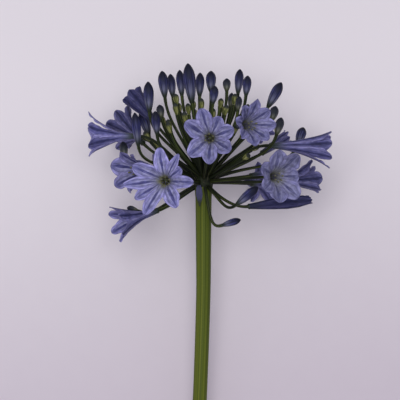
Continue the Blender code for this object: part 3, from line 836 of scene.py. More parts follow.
@dataclass(frozen=True)
class Tepal:
    """One lobe with its share of the tube: where it points, how long, wide and spread it is."""

    azimuth: float
    length: float
    half_width: float
    flare: float
    opening: float
    tube_lean: float
    widest: float
    wave: float
    twist: float
    curl: float = 0.0

    tube_length: float = 12.0
    foot_radius: float = 2.0
    overlap: float = 0.3
    thickness: float = 0.2
    wave_height: float = 0.7
    groove_depth: float = 0.35
    ruffle_height: float = 0.5
    waver: float = 0.05
    tube_rows: int = 6
    midrib_steps: int = 240
    tube_half_width: float = 9.0
    greatest_bend: float = 1.45
    tip_crowding: float = 1.45
    root_width: float = 0.62
    bluntness: float = 0.56
    overlap_growth: float = 1.6
    waver_turns: float = 2.6
    wave_turns: float = 1.3
    ruffle_turns: float = 3.7
    crease_depth: float = 0.18
    crease_width: float = 0.12
    edge_thinning: float = 0.6
    first_layer: float = 0.1
    layer_step: float = 0.17

    def share(self, distance: np.ndarray) -> np.ndarray:
        """How far along its free part a distance from the foot is, from 0 to 1."""
        return np.clip((distance - self.tube_length) / (self.length - self.tube_length), 0.0, 1.0)

    def lean(self, distance: np.ndarray, curl: float) -> np.ndarray:
        """Finds how far the midrib leans away from the floret's axis.

        Args:
            distance: Distances from the foot.
            curl: How far its tip curls back, in degrees.

        Returns:
            The lean at each distance, in radians.
        """
        start = math.radians(self.tube_lean)
        share = self.share(distance)
        bend = math.radians(curl) * smooth_step(share, 0.6, 1.0)
        return start + (math.radians(self.flare) - start) * share ** self.opening + bend

    def midrib(self, distance: np.ndarray, curl: float) -> tuple[np.ndarray, np.ndarray, np.ndarray]:
        """Finds where the midrib runs.

        Args:
            distance: Distances from the foot along the midrib.
            curl: How far its tip curls back, in degrees.

        Returns:
            Its radius, its height and its lean at each distance.
        """
        steps = np.linspace(0, self.length, self.midrib_steps + 1)
        middles = (steps[1:] + steps[:-1]) / 2
        lean = self.lean(middles, curl)
        step = steps[1]
        radius = self.foot_radius + np.concatenate(([0.0], np.cumsum(np.sin(lean) * step)))
        height = np.concatenate(([0.0], np.cumsum(np.cos(lean) * step)))
        return (
            np.interp(distance, steps, radius), np.interp(distance, steps, height), self.lean(distance, curl)
        )

    def depth(self) -> float:
        """The height of its tip above the foot before its tip curls."""
        return float(self.midrib(np.array([self.length]), 0.0)[1][0])

    def outline(self, share: np.ndarray) -> np.ndarray:
        """Finds the lobe's width: oblong with a blunt point.

        Args:
            share: How far along the free part, from 0 to 1.

        Returns:
            The half width over the greatest half width.
        """
        rising = self.root_width + (1 - self.root_width) * np.sin(math.pi / 2 * share / self.widest)
        past = np.clip((share - self.widest) / (1.004 - self.widest), 0.0, 1.0)
        return np.where(share < self.widest, rising, (1 - past * past) ** self.bluntness)

    def blade(self, room_right: float, room_left: float, rows: int, columns: int) -> tuple[np.ndarray, dict]:
        """Shapes its closed thin blade, in the floret's own frame.

        Args:
            room_right: The angle to its neighbour on its right, halved.
            room_left: The angle to its neighbour on its left, halved.
            rows: How many rows its free part has.
            columns: How many points run across each face.

        Returns:
            The rings round the blade, and the marks of their points.
        """
        tube_part = np.linspace(0, self.tube_length, self.tube_rows, endpoint=False)
        free_part = crowded(rows, self.tip_crowding) * (self.length - self.tube_length)
        distance = np.concatenate((tube_part, self.tube_length + free_part))
        share = self.share(distance)
        radius, height, lean = self.midrib(distance, self.curl)
        even = np.linspace(-1, 1, columns)
        across = 0.5 * even + 0.5 * np.sin(even * math.pi / 2)
        flat = np.maximum(np.cos(lean), 0.05)
        waver = 1 + self.waver * np.sin(2 * math.pi * self.waver_turns * share + 3.1 * self.wave)
        half = self.half_width * self.outline(share) * waver
        half[distance < self.tube_length] = self.tube_half_width
        bend = np.empty((len(distance), columns))
        for column, place in enumerate(across):
            room = room_left if place > 0 else room_right
            cover = (self.overlap + self.overlap_growth * share) / radius
            limit = np.arctan(np.tan(np.minimum(room + cover, self.greatest_bend)) * flat)
            bend[:, column] = np.minimum(half * flat / radius, limit) * place
        azimuth = math.radians(self.azimuth)
        outwards = heading(azimuth)
        sideways = np.array((-math.sin(azimuth), math.cos(azimuth), 0.0))
        upwards = np.array((0.0, 0.0, 1.0))
        inwards = np.outer(np.sin(lean), upwards) - np.outer(np.cos(lean), outwards)
        tilted = (math.radians(self.twist) * share * share)[:, None]
        crosswise = sideways * np.cos(tilted) + inwards * np.sin(tilted)
        cross_radius = (radius / flat)[:, None]
        spine = np.outer(radius, outwards) + np.outer(height, upwards)
        points = spine[:, None] + crosswise[:, None] * (cross_radius * np.sin(bend))[..., None]
        points += inwards[:, None] * (cross_radius * (1 - np.cos(bend)))[..., None]
        points += inwards[:, None] * self.lift(share, across)[..., None]
        face = inwards[:, None] * np.cos(bend)[..., None] - crosswise[:, None] * np.sin(bend)[..., None]
        shift = (self.first_layer + self.layer_step * (1 + across)) * np.ones_like(bend)
        thick = self.thickness * (1 - self.edge_thinning * np.abs(across) ** 5) * np.ones_like(bend)
        outer = points + face * shift[..., None]
        inner = outer + face * thick[..., None]
        rings = np.concatenate((outer, inner[:, ::-1]), axis=1)
        whole = np.concatenate((across, across[::-1]))
        sides = np.concatenate((np.zeros(columns), np.ones(columns)))
        shape = rings.shape[:2]
        marks = {
            "along": distance / self.length,
            "across": np.broadcast_to(whole, shape),
            "inner": np.broadcast_to(sides, shape),
        }
        return rings, marks

    def lift(self, share: np.ndarray, across: np.ndarray) -> np.ndarray:
        """Finds how far each point rises off the plain blade: broad waves, fine ruffles and a groove.

        Args:
            share: How far along the free part each row lies, from 0 to 1.
            across: Where each column lies, from -1 at one edge to 1 at the other.

        Returns:
            The rise in millimetres, as rows by columns.
        """
        part = share[:, None]
        side = np.sign(across)[None]
        reach = np.abs(across)[None]
        turn = 2 * math.pi * part
        wave = self.wave_height * part * np.sin(turn * self.wave_turns + self.wave + side)
        ruffled = np.sin(turn * self.ruffle_turns + 2.3 * self.wave + 2.0 * side)
        ruffle = self.ruffle_height * part * ruffled
        groove = -self.groove_depth * np.sin(math.pi * part)
        narrow = np.exp(-((across[None] / self.crease_width) ** 2))
        crease = -self.crease_depth * narrow * np.sin(math.pi * np.minimum(part * 1.1, 1.0))
        return wave * reach ** 1.3 + ruffle * reach ** 4 + groove * (1 - reach) + crease


# Round shapes round a floret's or bud's axis, as heights above its foot and radii.
FOOT_PROFILE = ((-0.45, 1.1), (-0.2, 1.3), (0.05, 1.75), (0.35, 2.05), (0.8, 2.2), (1.4, 2.2))
OVARY_PROFILE = ((2.5, 1.6), (4.0, 1.75), (6.0, 1.7), (8.0, 1.35), (9.5, 0.8), (10.5, 0.4))
ANTHER_RADII = 0.66 * np.sqrt(np.maximum(1 - np.linspace(-0.98, 0.98, 9) ** 2, 0.02))


def settled(rings: np.ndarray) -> np.ndarray:
    """Lifts what would reach under the surface onto it, and keeps the blade's thickness.

    Args:
        rings: Rings round a blade, in the part's frame.

    Returns:
        The rings, lifted where they have to be.
    """
    heights = rings[..., 2]
    low = np.minimum(heights, heights[:, ::-1])
    lifted = rings.copy()
    lifted[..., 2] += np.maximum(SURFACE_GAP - low, 0.0)
    return lifted


@dataclass(frozen=True)
class Floret:
    """One open or half-open floret: the centre of its mouth, the way it faces, its lobes."""

    node: str
    mouth: Triple
    facing: Triple
    length: float
    flare: float
    count: int = 6
    half_width: float = 4.6
    roll: float = 0.0
    lobes: tuple = ()
    via: tuple = ()
    opening: float = 0.78
    tube_lean: float = 7.0
    widest: float = 0.55
    tone: float = 0.5
    curl: float = 0.0
    grey: float = 0.0

    stamen_flare: float = 37.0
    stamen_count: int = 6
    stamen_root: float = 1.1
    stamen_tops: tuple = (0.72, 0.84)
    stamen_droop: float = 1.2
    stamen_radii: tuple = (0.34, 0.24)
    anther_overlap: float = 0.4
    anther_length: float = 2.3
    style_top: float = 0.8
    style_radii: tuple = (0.34, 0.26)
    tone_spread: float = 0.12
    plug: float = 5.0
    blade_rows: int = 28
    blade_columns: int = 13

    def tepals(self, draw: random.Random) -> list[Tepal]:
        """Lists its lobes: those given, or evenly spaced ones that differ a little.

        Args:
            draw: The seeded draw that the solids' lobes used, in the same order.

        Returns:
            The lobes, anticlockwise.
        """
        rows = self.lobes
        if not rows:
            step = 360.0 / self.count
            rows = [
                (
                    self.roll + step * index + draw.uniform(-3, 3),
                    self.length * draw.uniform(0.96, 1.03),
                    self.half_width * (1.0 if index % 2 else 0.88),
                    self.flare * draw.uniform(0.93, 1.07),
                )
                for index in range(self.count)
            ]
        made = []
        shape = (self.opening, self.tube_lean, self.widest)
        for row in rows:
            wave, twist = draw.uniform(0, 2 * math.pi), draw.uniform(-14, 14)
            made.append(Tepal(*row, *shape, wave, twist, self.curl))
        return made

    def build(self, palette: Palette, draw: random.Random) -> tuple[np.ndarray, np.ndarray]:
        """Builds the floret's piece.

        Args:
            palette: The finishes.
            draw: The seeded draw that the solids' lobes used, in the same order.

        Returns:
            The floret's foot and the way it faces, in the head's directions.
        """
        tepals = self.tepals(draw)
        depth = sum(tepal.depth() for tepal in tepals) / len(tepals)
        facing = unit(np.array(self.facing))
        foot = np.array(self.mouth) - facing * depth
        axes = HEAD.axes(facing)
        draft = Draft(self.node + "_bloom")

        def placed(points: np.ndarray) -> np.ndarray:
            """Moves points from the floret's own frame to the part's frame."""
            return HEAD.points(points @ axes.T + foot)

        local = random.Random(self.node)
        for index, tepal in enumerate(tepals):
            following, before = tepals[(index + 1) % len(tepals)], tepals[index - 1]
            room_left = math.radians((following.azimuth - tepal.azimuth) % 360) / 2
            room_right = math.radians((tepal.azimuth - before.azimuth) % 360) / 2
            rings, marks = tepal.blade(room_right, room_left, self.blade_rows, self.blade_columns)
            marks["tone"] = self.tone + local.uniform(-self.tone_spread, self.tone_spread)
            marks["rib"] = self.grey
            draft.tube(settled(placed(rings)), palette.petal, marks, Cap.STRIP, Cap.STRIP)
        self.add_foot(draft, palette, placed)
        if self.flare > self.stamen_flare:
            self.add_stamens(draft, palette, placed, depth, draw)
        draft.piece(Slot.PETAL, self.node)
        return foot, facing

    def add_foot(self, draft: Draft, palette: Palette, placed: Placing) -> None:
        """Adds the green foot under the tube and the ovary inside it."""
        draft.round(placed(lathed(FOOT_PROFILE, 20)), palette.foot)
        draft.round(placed(lathed(OVARY_PROFILE, 20)), palette.ovary)

    def add_stamens(
        self, draft: Draft, palette: Palette, placed: Placing, depth: float, draw: random.Random
    ) -> None:
        """Adds the filaments with their anthers, and the style between them.

        Args:
            draft: The floret's draft.
            palette: The finishes.
            placed: Moves points from the floret's own frame to the part's frame.
            depth: The height of the floret's mouth above its foot.
            draw: The seeded draw that the solids' stamens used, in the same order.
        """
        droop = heading(draw.uniform(0, 2 * math.pi)) * self.stamen_droop
        reach = 1.4 + 1.5 * math.sin(math.radians(min(self.flare, 80)))
        for index in range(self.stamen_count):
            outwards = heading(2 * math.pi * index / self.stamen_count + 0.5)
            top = depth * draw.uniform(*self.stamen_tops)
            start = outwards * self.stamen_root + (0, 0, self.plug - 2.0)
            middle = outwards * self.stamen_root + (0, 0, top * 0.6)
            end = outwards * reach + droop + (0, 0, top)
            filament = swept(np.array((start, middle, end)), np.linspace(*self.stamen_radii, 12), 8)
            draft.round(placed(filament), palette.filament)
            way = unit(end - middle)
            line = (end - way * self.anther_overlap, end + way * self.anther_length)
            anther = swept(np.array(line), ANTHER_RADII, 10)
            draft.round(placed(anther), palette.anther, ribs=2)
        top = droop * 1.6 + (0, 0, depth * self.style_top)
        control = np.array(((0, 0, 9.0), (0, 0, depth * 0.5), top), float)
        style = swept(control, np.linspace(*self.style_radii, 10), 8)
        draft.round(placed(style), palette.filament, bulge=0.2)


# How a bud swells and tapers, as shares of its length and of its radius.
BUD_PROFILE = (
    (0.0, 0.36), (0.06, 0.46), (0.14, 0.6), (0.28, 0.8), (0.42, 0.93), (0.55, 0.99), (0.68, 1.0),
    (0.8, 0.86), (0.88, 0.66), (0.94, 0.44), (0.975, 0.27), (1.0, 0.07),
)
COLLAR_PROFILE = ((-0.45, 1.1), (-0.1, 1.3), (0.6, 1.45))


@dataclass(frozen=True)
class Bud:
    """One closed blue bud: its foot, its tip, its radius, and its pedicel's way if that bends."""

    node: str
    foot: Triple
    tip: Triple
    radius: float
    via: tuple = ()
    tone: float = 0.4
    young: bool = False

    rings: int = 26
    sides: int = 36
    tip_crowding: float = 1.3
    ridge_depth: float = 0.045
    seam_depth: float = 0.06
    seam_width: float = 0.12

    def build(self, palette: Palette) -> tuple[np.ndarray, np.ndarray]:
        """Builds the bud's piece.

        Args:
            palette: The finishes.

        Returns:
            The bud's foot and its axis, in the head's directions.
        """
        foot, tip = np.array(self.foot), np.array(self.tip)
        axis = tip - foot
        length = np.linalg.norm(axis)
        axes = HEAD.axes(axis)
        shares = crowded(self.rings, self.tip_crowding)
        radii = self.radius * np.interp(shares, *np.array(BUD_PROFILE).T)
        turns = turned(self.sides)
        seam = np.abs(np.sin(1.5 * turns + 0.4))
        ridges = self.ridge_depth * (np.cos(6 * turns) - 1)
        ridges -= self.seam_depth * np.exp(-((seam / self.seam_width) ** 2))
        strength = np.abs(np.sin(math.pi * shares)) ** 0.6
        rings = circle(radii, turns) * (1 + ridges * strength[:, None])[..., None]
        rings[..., 2] = (shares * length)[:, None]
        draft = Draft(self.node + "_skin")
        skin = palette.young_bud if self.young else palette.bud
        draft.round(HEAD.points(rings @ axes.T + foot), skin, self.tone, 6, shares)
        draft.round(HEAD.points(lathed(COLLAR_PROFILE, 16) @ axes.T + foot), palette.foot)
        draft.piece(Slot.BUD, self.node)
        return foot, axis


# Lobes listed one by one, each with its azimuth, length, half width and flare.
FRONT_CENTRE_LOBES = (
    (19, 31.8, 6.3, 84), (66, 30.2, 5.8, 80), (110, 37.0, 6.4, 84), (152, 36.6, 7.0, 84),
    (220, 36.3, 7.0, 84), (266, 34.5, 6.0, 84), (325, 31.5, 6.4, 84),
)
FRONT_LOW_LEFT_LOBES = (
    (-5, 37.5, 5.2, 84), (34, 29.0, 6.0, 78), (59, 37.3, 3.4, 84), (97, 39.5, 5.6, 84), (155, 41.1, 6.2, 84),
    (187, 46.5, 4.8, 86), (214, 40.8, 5.4, 84), (242, 45.9, 5.2, 86), (296, 37.7, 6.0, 84),
)
FRONT_HIGH_RIGHT_LOBES = (
    (-3, 34.5, 6.0, 62), (41, 33, 6.4, 60), (88, 35.5, 5.4, 62), (129, 33, 5.0, 60),
    (178, 33.5, 5.2, 62), (222, 33, 5.4, 60), (266, 35, 5.8, 62), (313, 33.5, 6.2, 60),
)
RIGHT_STAR_LOBES = (
    (2, 31, 8.4, 60), (54, 38.5, 8.4, 66), (102, 38, 7.6, 66), (158, 36, 7.4, 66),
    (214, 35, 7.2, 64), (261, 38, 7.8, 66), (308, 38, 8.4, 66),
)
LEFT_TRUMPET_LOBES = (
    (34, 38, 7.2, 28), (90, 40.5, 5.2, 42), (150, 38, 6.6, 25),
    (210, 37.5, 6.6, 24), (270, 38.5, 6.2, 28), (332, 38, 7.2, 25),
)
RIGHT_TRUMPET_LOBES = (
    (38, 48, 6.8, 24), (88, 48, 5.6, 36), (150, 47.5, 6.2, 24),
    (218, 47.5, 6.2, 24), (302, 47.5, 7.2, 27), (346, 47.5, 7.0, 21),
)
RIGHT_BEHIND_LOBES = (
    (48, 36.5, 6.8, 24), (102, 36, 5.6, 22), (156, 36, 6.2, 24),
    (225, 36, 6.2, 26), (308, 34.5, 6.8, 52), (358, 37, 6.8, 21),
)

# Each floret's tone is partly its own paler or darker blue and partly painted light and shade: florets that
# lie in shade have low tones.
FLORETS = (
    Floret("floret_front_centre", (5.0, 31.3, 79), (0.02, 0.02, 1), 36, 84, lobes=FRONT_CENTRE_LOBES,
           tone=0.46, grey=0.2),
    Floret("floret_front_low_left", (-28.9, 0.5, 82), (-0.08, 0.02, 1), 40, 84,
           lobes=FRONT_LOW_LEFT_LOBES, tone=0.68, grey=0.1),
    Floret("floret_front_high_right", (37.4, 41.7, 66), (0.44, 0.04, 0.9), 34, 62,
           lobes=FRONT_HIGH_RIGHT_LOBES, tone=0.42, grey=0.25),
    Floret("floret_right_star", (56.9, 3.4, 64), (0.34, 0, 0.94), 37, 66, lobes=RIGHT_STAR_LOBES,
           tone=0.36, grey=0.55),
    Floret("floret_left_front", (-57.6, 6.9, 42), (-0.75, -0.1, 0.65), 37, 49, 6, 8.4, -12, opening=0.7,
           tone=0.38),
    Floret("floret_left_trumpet", (-87, 33.4, 14), (-1, -0.03, 0.05), 38.5, 25,
           lobes=LEFT_TRUMPET_LOBES, opening=0.4, widest=0.66, curl=16, tone=0.84, grey=0.25),
    Floret("floret_left_high", (-54.5, 66.2, -9), (-0.56, 0.68, -0.45), 31, 12, 6, 7.0, 20,
           opening=0.6, tube_lean=12, widest=0.5, tone=0.03),
    Floret("floret_left_behind", (-66.5, 50, -22), (-0.66, 0.66, -0.36), 34, 38, 6, 6.2, 25, opening=0.6,
           tone=0.16, grey=0.1),
    Floret("floret_low_left_trumpet", (-66, -31.4, 22), (-0.9, -0.28, 0.33), 38, 33, 6, 5.6, 20,
           opening=0.6, widest=0.6, tone=0.47),
    Floret("floret_right_trumpet", (95, 25.6, 22), (1, -0.03, 0.03), 48, 18,
           lobes=RIGHT_TRUMPET_LOBES, opening=1.15, widest=0.7, curl=2, tone=0.52),
    Floret("floret_right_behind", (86.5, 2.5, 2), (1, 0.06, -0.1), 36.5, 25,
           lobes=RIGHT_BEHIND_LOBES, opening=0.4, widest=0.66, curl=4, tone=0.46, grey=0.15),
    Floret("floret_right_opening", (65, 35.5, -9), (0.82, 0.54, -0.2), 26, 5, 6, 3.4, 10, tone=0.4),
    Floret("floret_low_right_opening", (80.6, -13.8, 20), (0.99, 0.1, 0.08), 48, -11, 6, 4.6, 0,
           via=((13.5, -13.0, 10.0),), opening=1.25, tone=-0.08),
    Floret("floret_back_centre", (1, 34, -60), (0.0, 0.1, -1), 34, 70, 6, 4.8, 15),
    Floret("floret_back_low_left", (-40, 4, -54.7), (-0.48, -0.08, -0.87), 38, 70, 6, 4.9, 40),
    Floret("floret_back_low_right", (49, -1, -54.5), (0.42, 0.0, -0.9), 36, 70, 6, 4.9, 10),
    Floret("floret_back_high_right", (43, 46, -50), (0.35, 0.36, -0.86), 34.5, 64, 6, 4.7, 22),
    Floret("floret_back_left", (-63, 38, -48), (-0.55, 0.15, -0.82), 34, 40, 6, 5.2, 0),
    Floret("floret_back_right", (62, 8, -29), (0.82, 0.1, -0.56), 34, 34, 6, 5.0, 30),
)

# Each bud's tone is partly its own colour and partly painted shade: buds that lie behind have low tones.
BUDS = (
    Bud("bud_high_left", (-40.7, 52.7, 10), (-41.8, 75.5, 12), 3.9),
    Bud("bud_top_left", (-29.2, 64.0, 5), (-31.4, 84.0, 6), 3.8),
    Bud("bud_top_left_behind", (-23.4, 65.2, -6), (-25.4, 82.7, -8), 3.3),
    Bud("bud_top_slim", (-16.4, 65.6, -3), (-18.3, 85.5, -4), 3.3),
    Bud("bud_top_largest", (-8.7, 59.5, 8), (-11.9, 89.4, 10), 4.6),
    Bud("bud_top_centre", (-3.0, 65.2, -4), (-2.5, 83.5, -5), 3.4),
    Bud("bud_top_right_of_centre", (5.7, 69.0, -6), (5.7, 85.0, -6), 3.9),
    Bud("bud_mid_centre", (6.9, 58.5, 14), (8.6, 72.1, 16), 3.3),
    Bud("bud_top_small", (17.6, 68.5, 4), (17.6, 78.5, 4), 3.0, young=True),
    Bud("bud_top_right", (26.3, 67.5, -6), (27.9, 86.4, -7), 3.4),
    Bud("bud_top_right_front", (32.0, 65.0, 8), (33.4, 80.2, 9), 3.3),
    Bud("bud_mid_right_behind", (20.4, 56.5, -10), (21.8, 68.6, -11), 2.5, young=True),
    Bud("bud_above_high_right", (25.6, 53.0, 20), (26.8, 63.6, 24), 2.5, young=True),
    Bud("bud_high_right", (49.0, 57.0, 0), (59.3, 75.7, 0), 4.0),
    Bud("bud_right_small", (51.4, 46.0, 9), (54.4, 57.2, 10), 3.4, young=True),
    Bud("bud_right_upright", (54.0, 34.6, 31), (57.6, 47.3, 34), 3.3, young=True),
    Bud("bud_far_right", (72.4, 29.2, -14), (77.1, 42.3, -17), 3.8, tone=0.1),
    Bud("bud_left_small", (-31.6, 48.0, 6), (-33.4, 58.4, 6), 3.0, young=True),
    Bud("bud_left_upright", (-34.6, 35.0, 25), (-36.0, 52.3, 29), 3.4),
    Bud("bud_left_long", (-48.6, 26.8, 24), (-51.2, 51.3, 28), 3.5, tone=0.6),
    Bud("bud_left_green", (-60.0, 18.0, -5), (-61.6, 31.0, -6), 3.2, young=True),
    Bud("bud_left_behind", (-42.0, 36.0, -15), (-48.0, 56.0, -20), 4.0, tone=0.15),
    Bud("bud_low_left", (-49.4, -22.2, 1), (-58.1, -19.4, 1), 2.6, young=True),
    Bud("bud_low_right", (24.4, -17.0, 32), (40.2, -3.9, 37), 3.6, ((14.0, -14.5, 22.0),)),
    Bud("bud_hanging", (13.6, -32.9, 9), (28.1, -28.5, 10), 2.9,
        ((1.6, -5.0, 9.6), (2.4, -14.0, 9.4), (5.6, -26.5, 9.2))),
)

GREEN_BUD_PROFILE = (
    (0.0, 0.42), (0.15, 0.66), (0.35, 0.9), (0.62, 1.0), (0.8, 0.84), (0.9, 0.6), (0.96, 0.38), (1.0, 0.08)
)
# The foot and the tip of each unripe bud, in the head's directions.
GREEN_BUDS = (
    ((-20.0, 50.5, 14.0), (-21.5, 59.0, 16.5)), ((-11.0, 51.0, 6.0), (-12.0, 59.5, 7.0)),
    ((-1.5, 54.0, 10.0), (-1.8, 63.0, 12.0)), ((-1.0, 48.0, -8.0), (-1.0, 57.0, -9.5)),
    ((7.0, 47.5, 4.0), (7.2, 56.0, 4.5)), ((12.5, 52.5, -6.0), (13.6, 61.0, -7.0)),
    ((23.0, 58.5, 3.0), (24.0, 67.0, 3.4)), ((-24.5, 36.5, 22.0), (-26.8, 44.5, 25.5)),
    ((-13.0, 44.0, 24.0), (-14.6, 52.0, 28.0)), ((-40.5, 31.0, 4.0), (-45.2, 38.0, 4.4)),
    ((16.0, 50.0, 18.0), (17.4, 57.5, 21.0)), ((-18.0, 54.0, -20.0), (-19.6, 61.5, -23.0)),
    ((15.5, 52.0, -26.0), (17.0, 59.0, -30.0)), ((-6.0, 50.0, -30.0), (-6.8, 57.0, -34.5)),
    ((36.0, 44.0, -14.0), (40.5, 50.5, -16.0)), ((-29.5, 44.0, -12.0), (-33.0, 51.0, -14.0)),
    ((31.0, 51.5, 2.0), (34.2, 59.0, 2.4)), ((-7.5, 38.0, 36.0), (-8.8, 44.0, 42.0)),
    ((22.0, 36.0, 33.0), (24.6, 41.6, 38.0)), ((2.5, 42.0, 20.0), (2.8, 50.0, 23.5)),
    ((-20.0, 59.0, 2.0), (-21.4, 67.0, 2.4)), ((-25.0, 39.5, 12.0), (-27.0, 47.0, 13.4)),
    ((19.0, 44.0, -17.0), (21.2, 51.0, -19.6)), ((27.5, 45.5, -8.0), (30.8, 52.0, -9.0)),
    ((11.0, 39.5, 13.5), (12.6, 46.5, 16.0)), ((-14.0, 42.0, -12.0), (-15.8, 49.5, -14.2)),
    ((-34.0, 26.5, -4.0), (-40.0, 31.2, -4.8)), ((-7.5, 56.0, -14.0), (-8.2, 63.0, -15.8)),
    ((28.0, 33.0, -4.0), (32.2, 38.2, -4.8)), ((36.5, 24.0, 6.0), (42.4, 27.8, 6.8)),
    ((29.5, 17.0, 22.0), (34.6, 20.0, 25.6)), ((12.5, 56.5, 2.0), (13.6, 63.5, 2.4)),
)


@dataclass(frozen=True)
class GreenStem:
    """The scape with its receptacle and cut end, every pedicel, and the unripe green buds."""

    length: float = 290.0
    radii: tuple = ((-290.0, 5.6), (-230.0, 5.4), (-160.0, 5.3), (-80.0, 5.45), (-32.0, 5.9), (-12.0, 6.1),
                    (-5.0, 6.8), (-0.5, 7.6), (3.0, 6.8), (5.5, 4.6), (6.8, 1.0))
    bend_start: float = -75.0
    bend_reach: float = 87.0
    bend_shift: float = 2.7
    bend_power: float = 1.3
    scape_sides: int = 72
    rib_count: int = 18
    rib_height: float = 0.09
    middle_radius: float = 5.5
    skin_share: float = 0.99
    scape_rows: int = 60
    dome_rows: int = 16
    scape_top: float = -4.5
    scar_place: float = -5.5
    scar_height: float = 0.35
    cut_bevel: tuple = (0.25, 0.08)
    cut_hollow: float = 0.14
    pedicel_radius: float = 1.1
    pedicel_foot: float = 1.65
    pedicel_end: float = 1.3
    pedicel_root: float = 4.0
    pedicel_sides: int = 14
    pedicel_rings: int = 22
    green_bud_radius: float = 2.2
    green_bud_rings: int = 16
    green_bud_sides: int = 24
    green_bud_crowding: float = 1.2
    green_bud_ridges: float = 0.04
    bracteole_count: int = 16

    def build(self, palette: Palette, ends: list[tuple[np.ndarray, np.ndarray, tuple]]) -> None:
        """Builds the green stem's piece.

        Args:
            palette: The finishes.
            ends: Foot, axis and bends of every floret and blue bud.
        """
        draft = Draft("green_stem_skin")
        self.add_scape(draft, palette)
        draw = random.Random(77)
        for foot, axis, via in ends:
            self.add_pedicel(draft, palette, foot, axis, via, draw)
        for foot, tip in GREEN_BUDS:
            foot, axis = np.array(foot), np.array(tip) - np.array(foot)
            self.add_pedicel(draft, palette, foot, axis, (), draw)
            self.add_green_bud(draft, palette, foot, axis, draw)
        self.add_bracteoles(draft, palette, draw)
        draft.piece(Slot.GREEN, "scape_and_pedicels")

    def bend(self, v: np.ndarray) -> np.ndarray:
        """How far the scape's axis has moved to the left at height v."""
        return -self.bend_shift * (np.maximum(self.bend_start - v, 0.0) / self.bend_reach) ** self.bend_power

    def add_scape(self, draft: Draft, palette: Palette) -> None:
        """Adds the ribbed scape, the receptacle's dome and the cut face.

        Args:
            draft: The green stem's draft.
            palette: The finishes.
        """
        turns = turned(self.scape_sides)
        cut = -self.length
        stations = np.concatenate((
            (cut, cut + 0.3, cut + 0.8), np.linspace(cut + 2, -14, self.scape_rows),
            np.linspace(-12, 5.5, self.dome_rows), (6.4, 6.8),
        ))
        radii = np.interp(stations, *np.array(self.radii).T) * self.skin_share
        radii[:2] -= self.cut_bevel
        ribs = np.cos(self.rib_count * turns) + 0.5 * np.cos(11 * turns + 1.0)
        fade = smooth_step(-stations, 2.0, 14.0)
        swell = 1 + (self.rib_height / self.middle_radius) * ribs[None] * fade[:, None]
        scar = self.scar_height * np.exp(-(((stations - self.scar_place) / 0.6) ** 2))
        rings = circle(radii + scar, turns) * swell[..., None]
        heights = np.broadcast_to(stations[:, None], rings.shape[:2])
        placed = np.stack((rings[..., 0] + self.bend(stations)[:, None], heights, rings[..., 1]), -1)
        along = (stations - cut) / self.length
        split = int(np.searchsorted(stations, self.scape_top))
        lower, upper = slice(None, split + 1), slice(split, None)
        for span, finish in ((lower, palette.scape), (upper, palette.receptacle)):
            draft.round(HEAD.points(placed[span]), finish, 0.5, self.rib_count, along[span])
        shares = np.array((1.0, 0.93, 0.8, 0.6, 0.4, 0.2, 0.06))
        outwards = shares[:, None, None]
        face = placed[0] * outwards + placed[0].mean(axis=0) * (1 - outwards)
        face[..., 1] += self.cut_hollow * (1 - shares[:, None] ** 2) - 0.03
        draft.tube(HEAD.points(face), palette.cut, {"along": shares})

    def control(self, foot: np.ndarray, axis: np.ndarray, via: tuple) -> np.ndarray:
        """Finds a pedicel's Bezier points, from its root in the receptacle to its floret or bud.

        Args:
            foot: The foot of the floret or bud.
            axis: The way that the floret or bud faces.
            via: The bends on its way, if it has any.

        Returns:
            The points.
        """
        way = unit(axis)
        end = foot - way * 0.1
        reach = np.linalg.norm(end)
        if via:
            bends = [np.array(place) for place in via]
            return np.array((unit(bends[0]) * self.pedicel_root, *bends, end - way * reach * 0.25, end))
        root = end / reach
        return np.array((root * self.pedicel_root, root * reach * 0.55, end - way * reach * 0.28, end))

    def add_pedicel(
        self, draft: Draft, palette: Palette, foot: np.ndarray, axis: np.ndarray, via: tuple,
        draw: random.Random,
    ) -> None:
        """Adds one pedicel, thicker at its root and again under its floret.

        Args:
            draft: The green stem's draft.
            palette: The finishes.
            foot: The foot of its floret or bud.
            axis: The way that its floret or bud faces.
            via: The bends on its way, if it has any.
            draw: The seeded draw of the stalks' tones.
        """
        shares = np.linspace(0, 1, self.pedicel_rings)
        radii = self.pedicel_radius + (self.pedicel_foot - self.pedicel_radius) * (1 - shares) ** 5
        radii += (self.pedicel_end - self.pedicel_radius) * smooth_step(shares, 0.86, 1.0)
        rings = swept(self.control(foot, axis, via), radii, self.pedicel_sides)
        draft.round(HEAD.points(rings), palette.pedicel, draw.uniform(0, 1), 5)

    def add_green_bud(
        self, draft: Draft, palette: Palette, foot: np.ndarray, axis: np.ndarray, draw: random.Random
    ) -> None:
        """Adds one unripe bud with a blue-tinged tip.

        Args:
            draft: The green stem's draft.
            palette: The finishes.
            foot: The bud's foot.
            axis: The way from its foot to its tip.
            draw: The seeded draw of the stalks' tones.
        """
        shares = crowded(self.green_bud_rings, self.green_bud_crowding)
        radii = self.green_bud_radius * np.interp(shares, *np.array(GREEN_BUD_PROFILE).T)
        turns = turned(self.green_bud_sides)
        rings = circle(radii, turns) * (1 + self.green_bud_ridges * np.cos(6 * turns))[None, :, None]
        rings[..., 2] = (shares * np.linalg.norm(axis))[:, None]
        placed = HEAD.points(rings @ HEAD.axes(axis).T + foot)
        draft.round(placed, palette.green_bud, draw.uniform(0, 1), 6, shares)

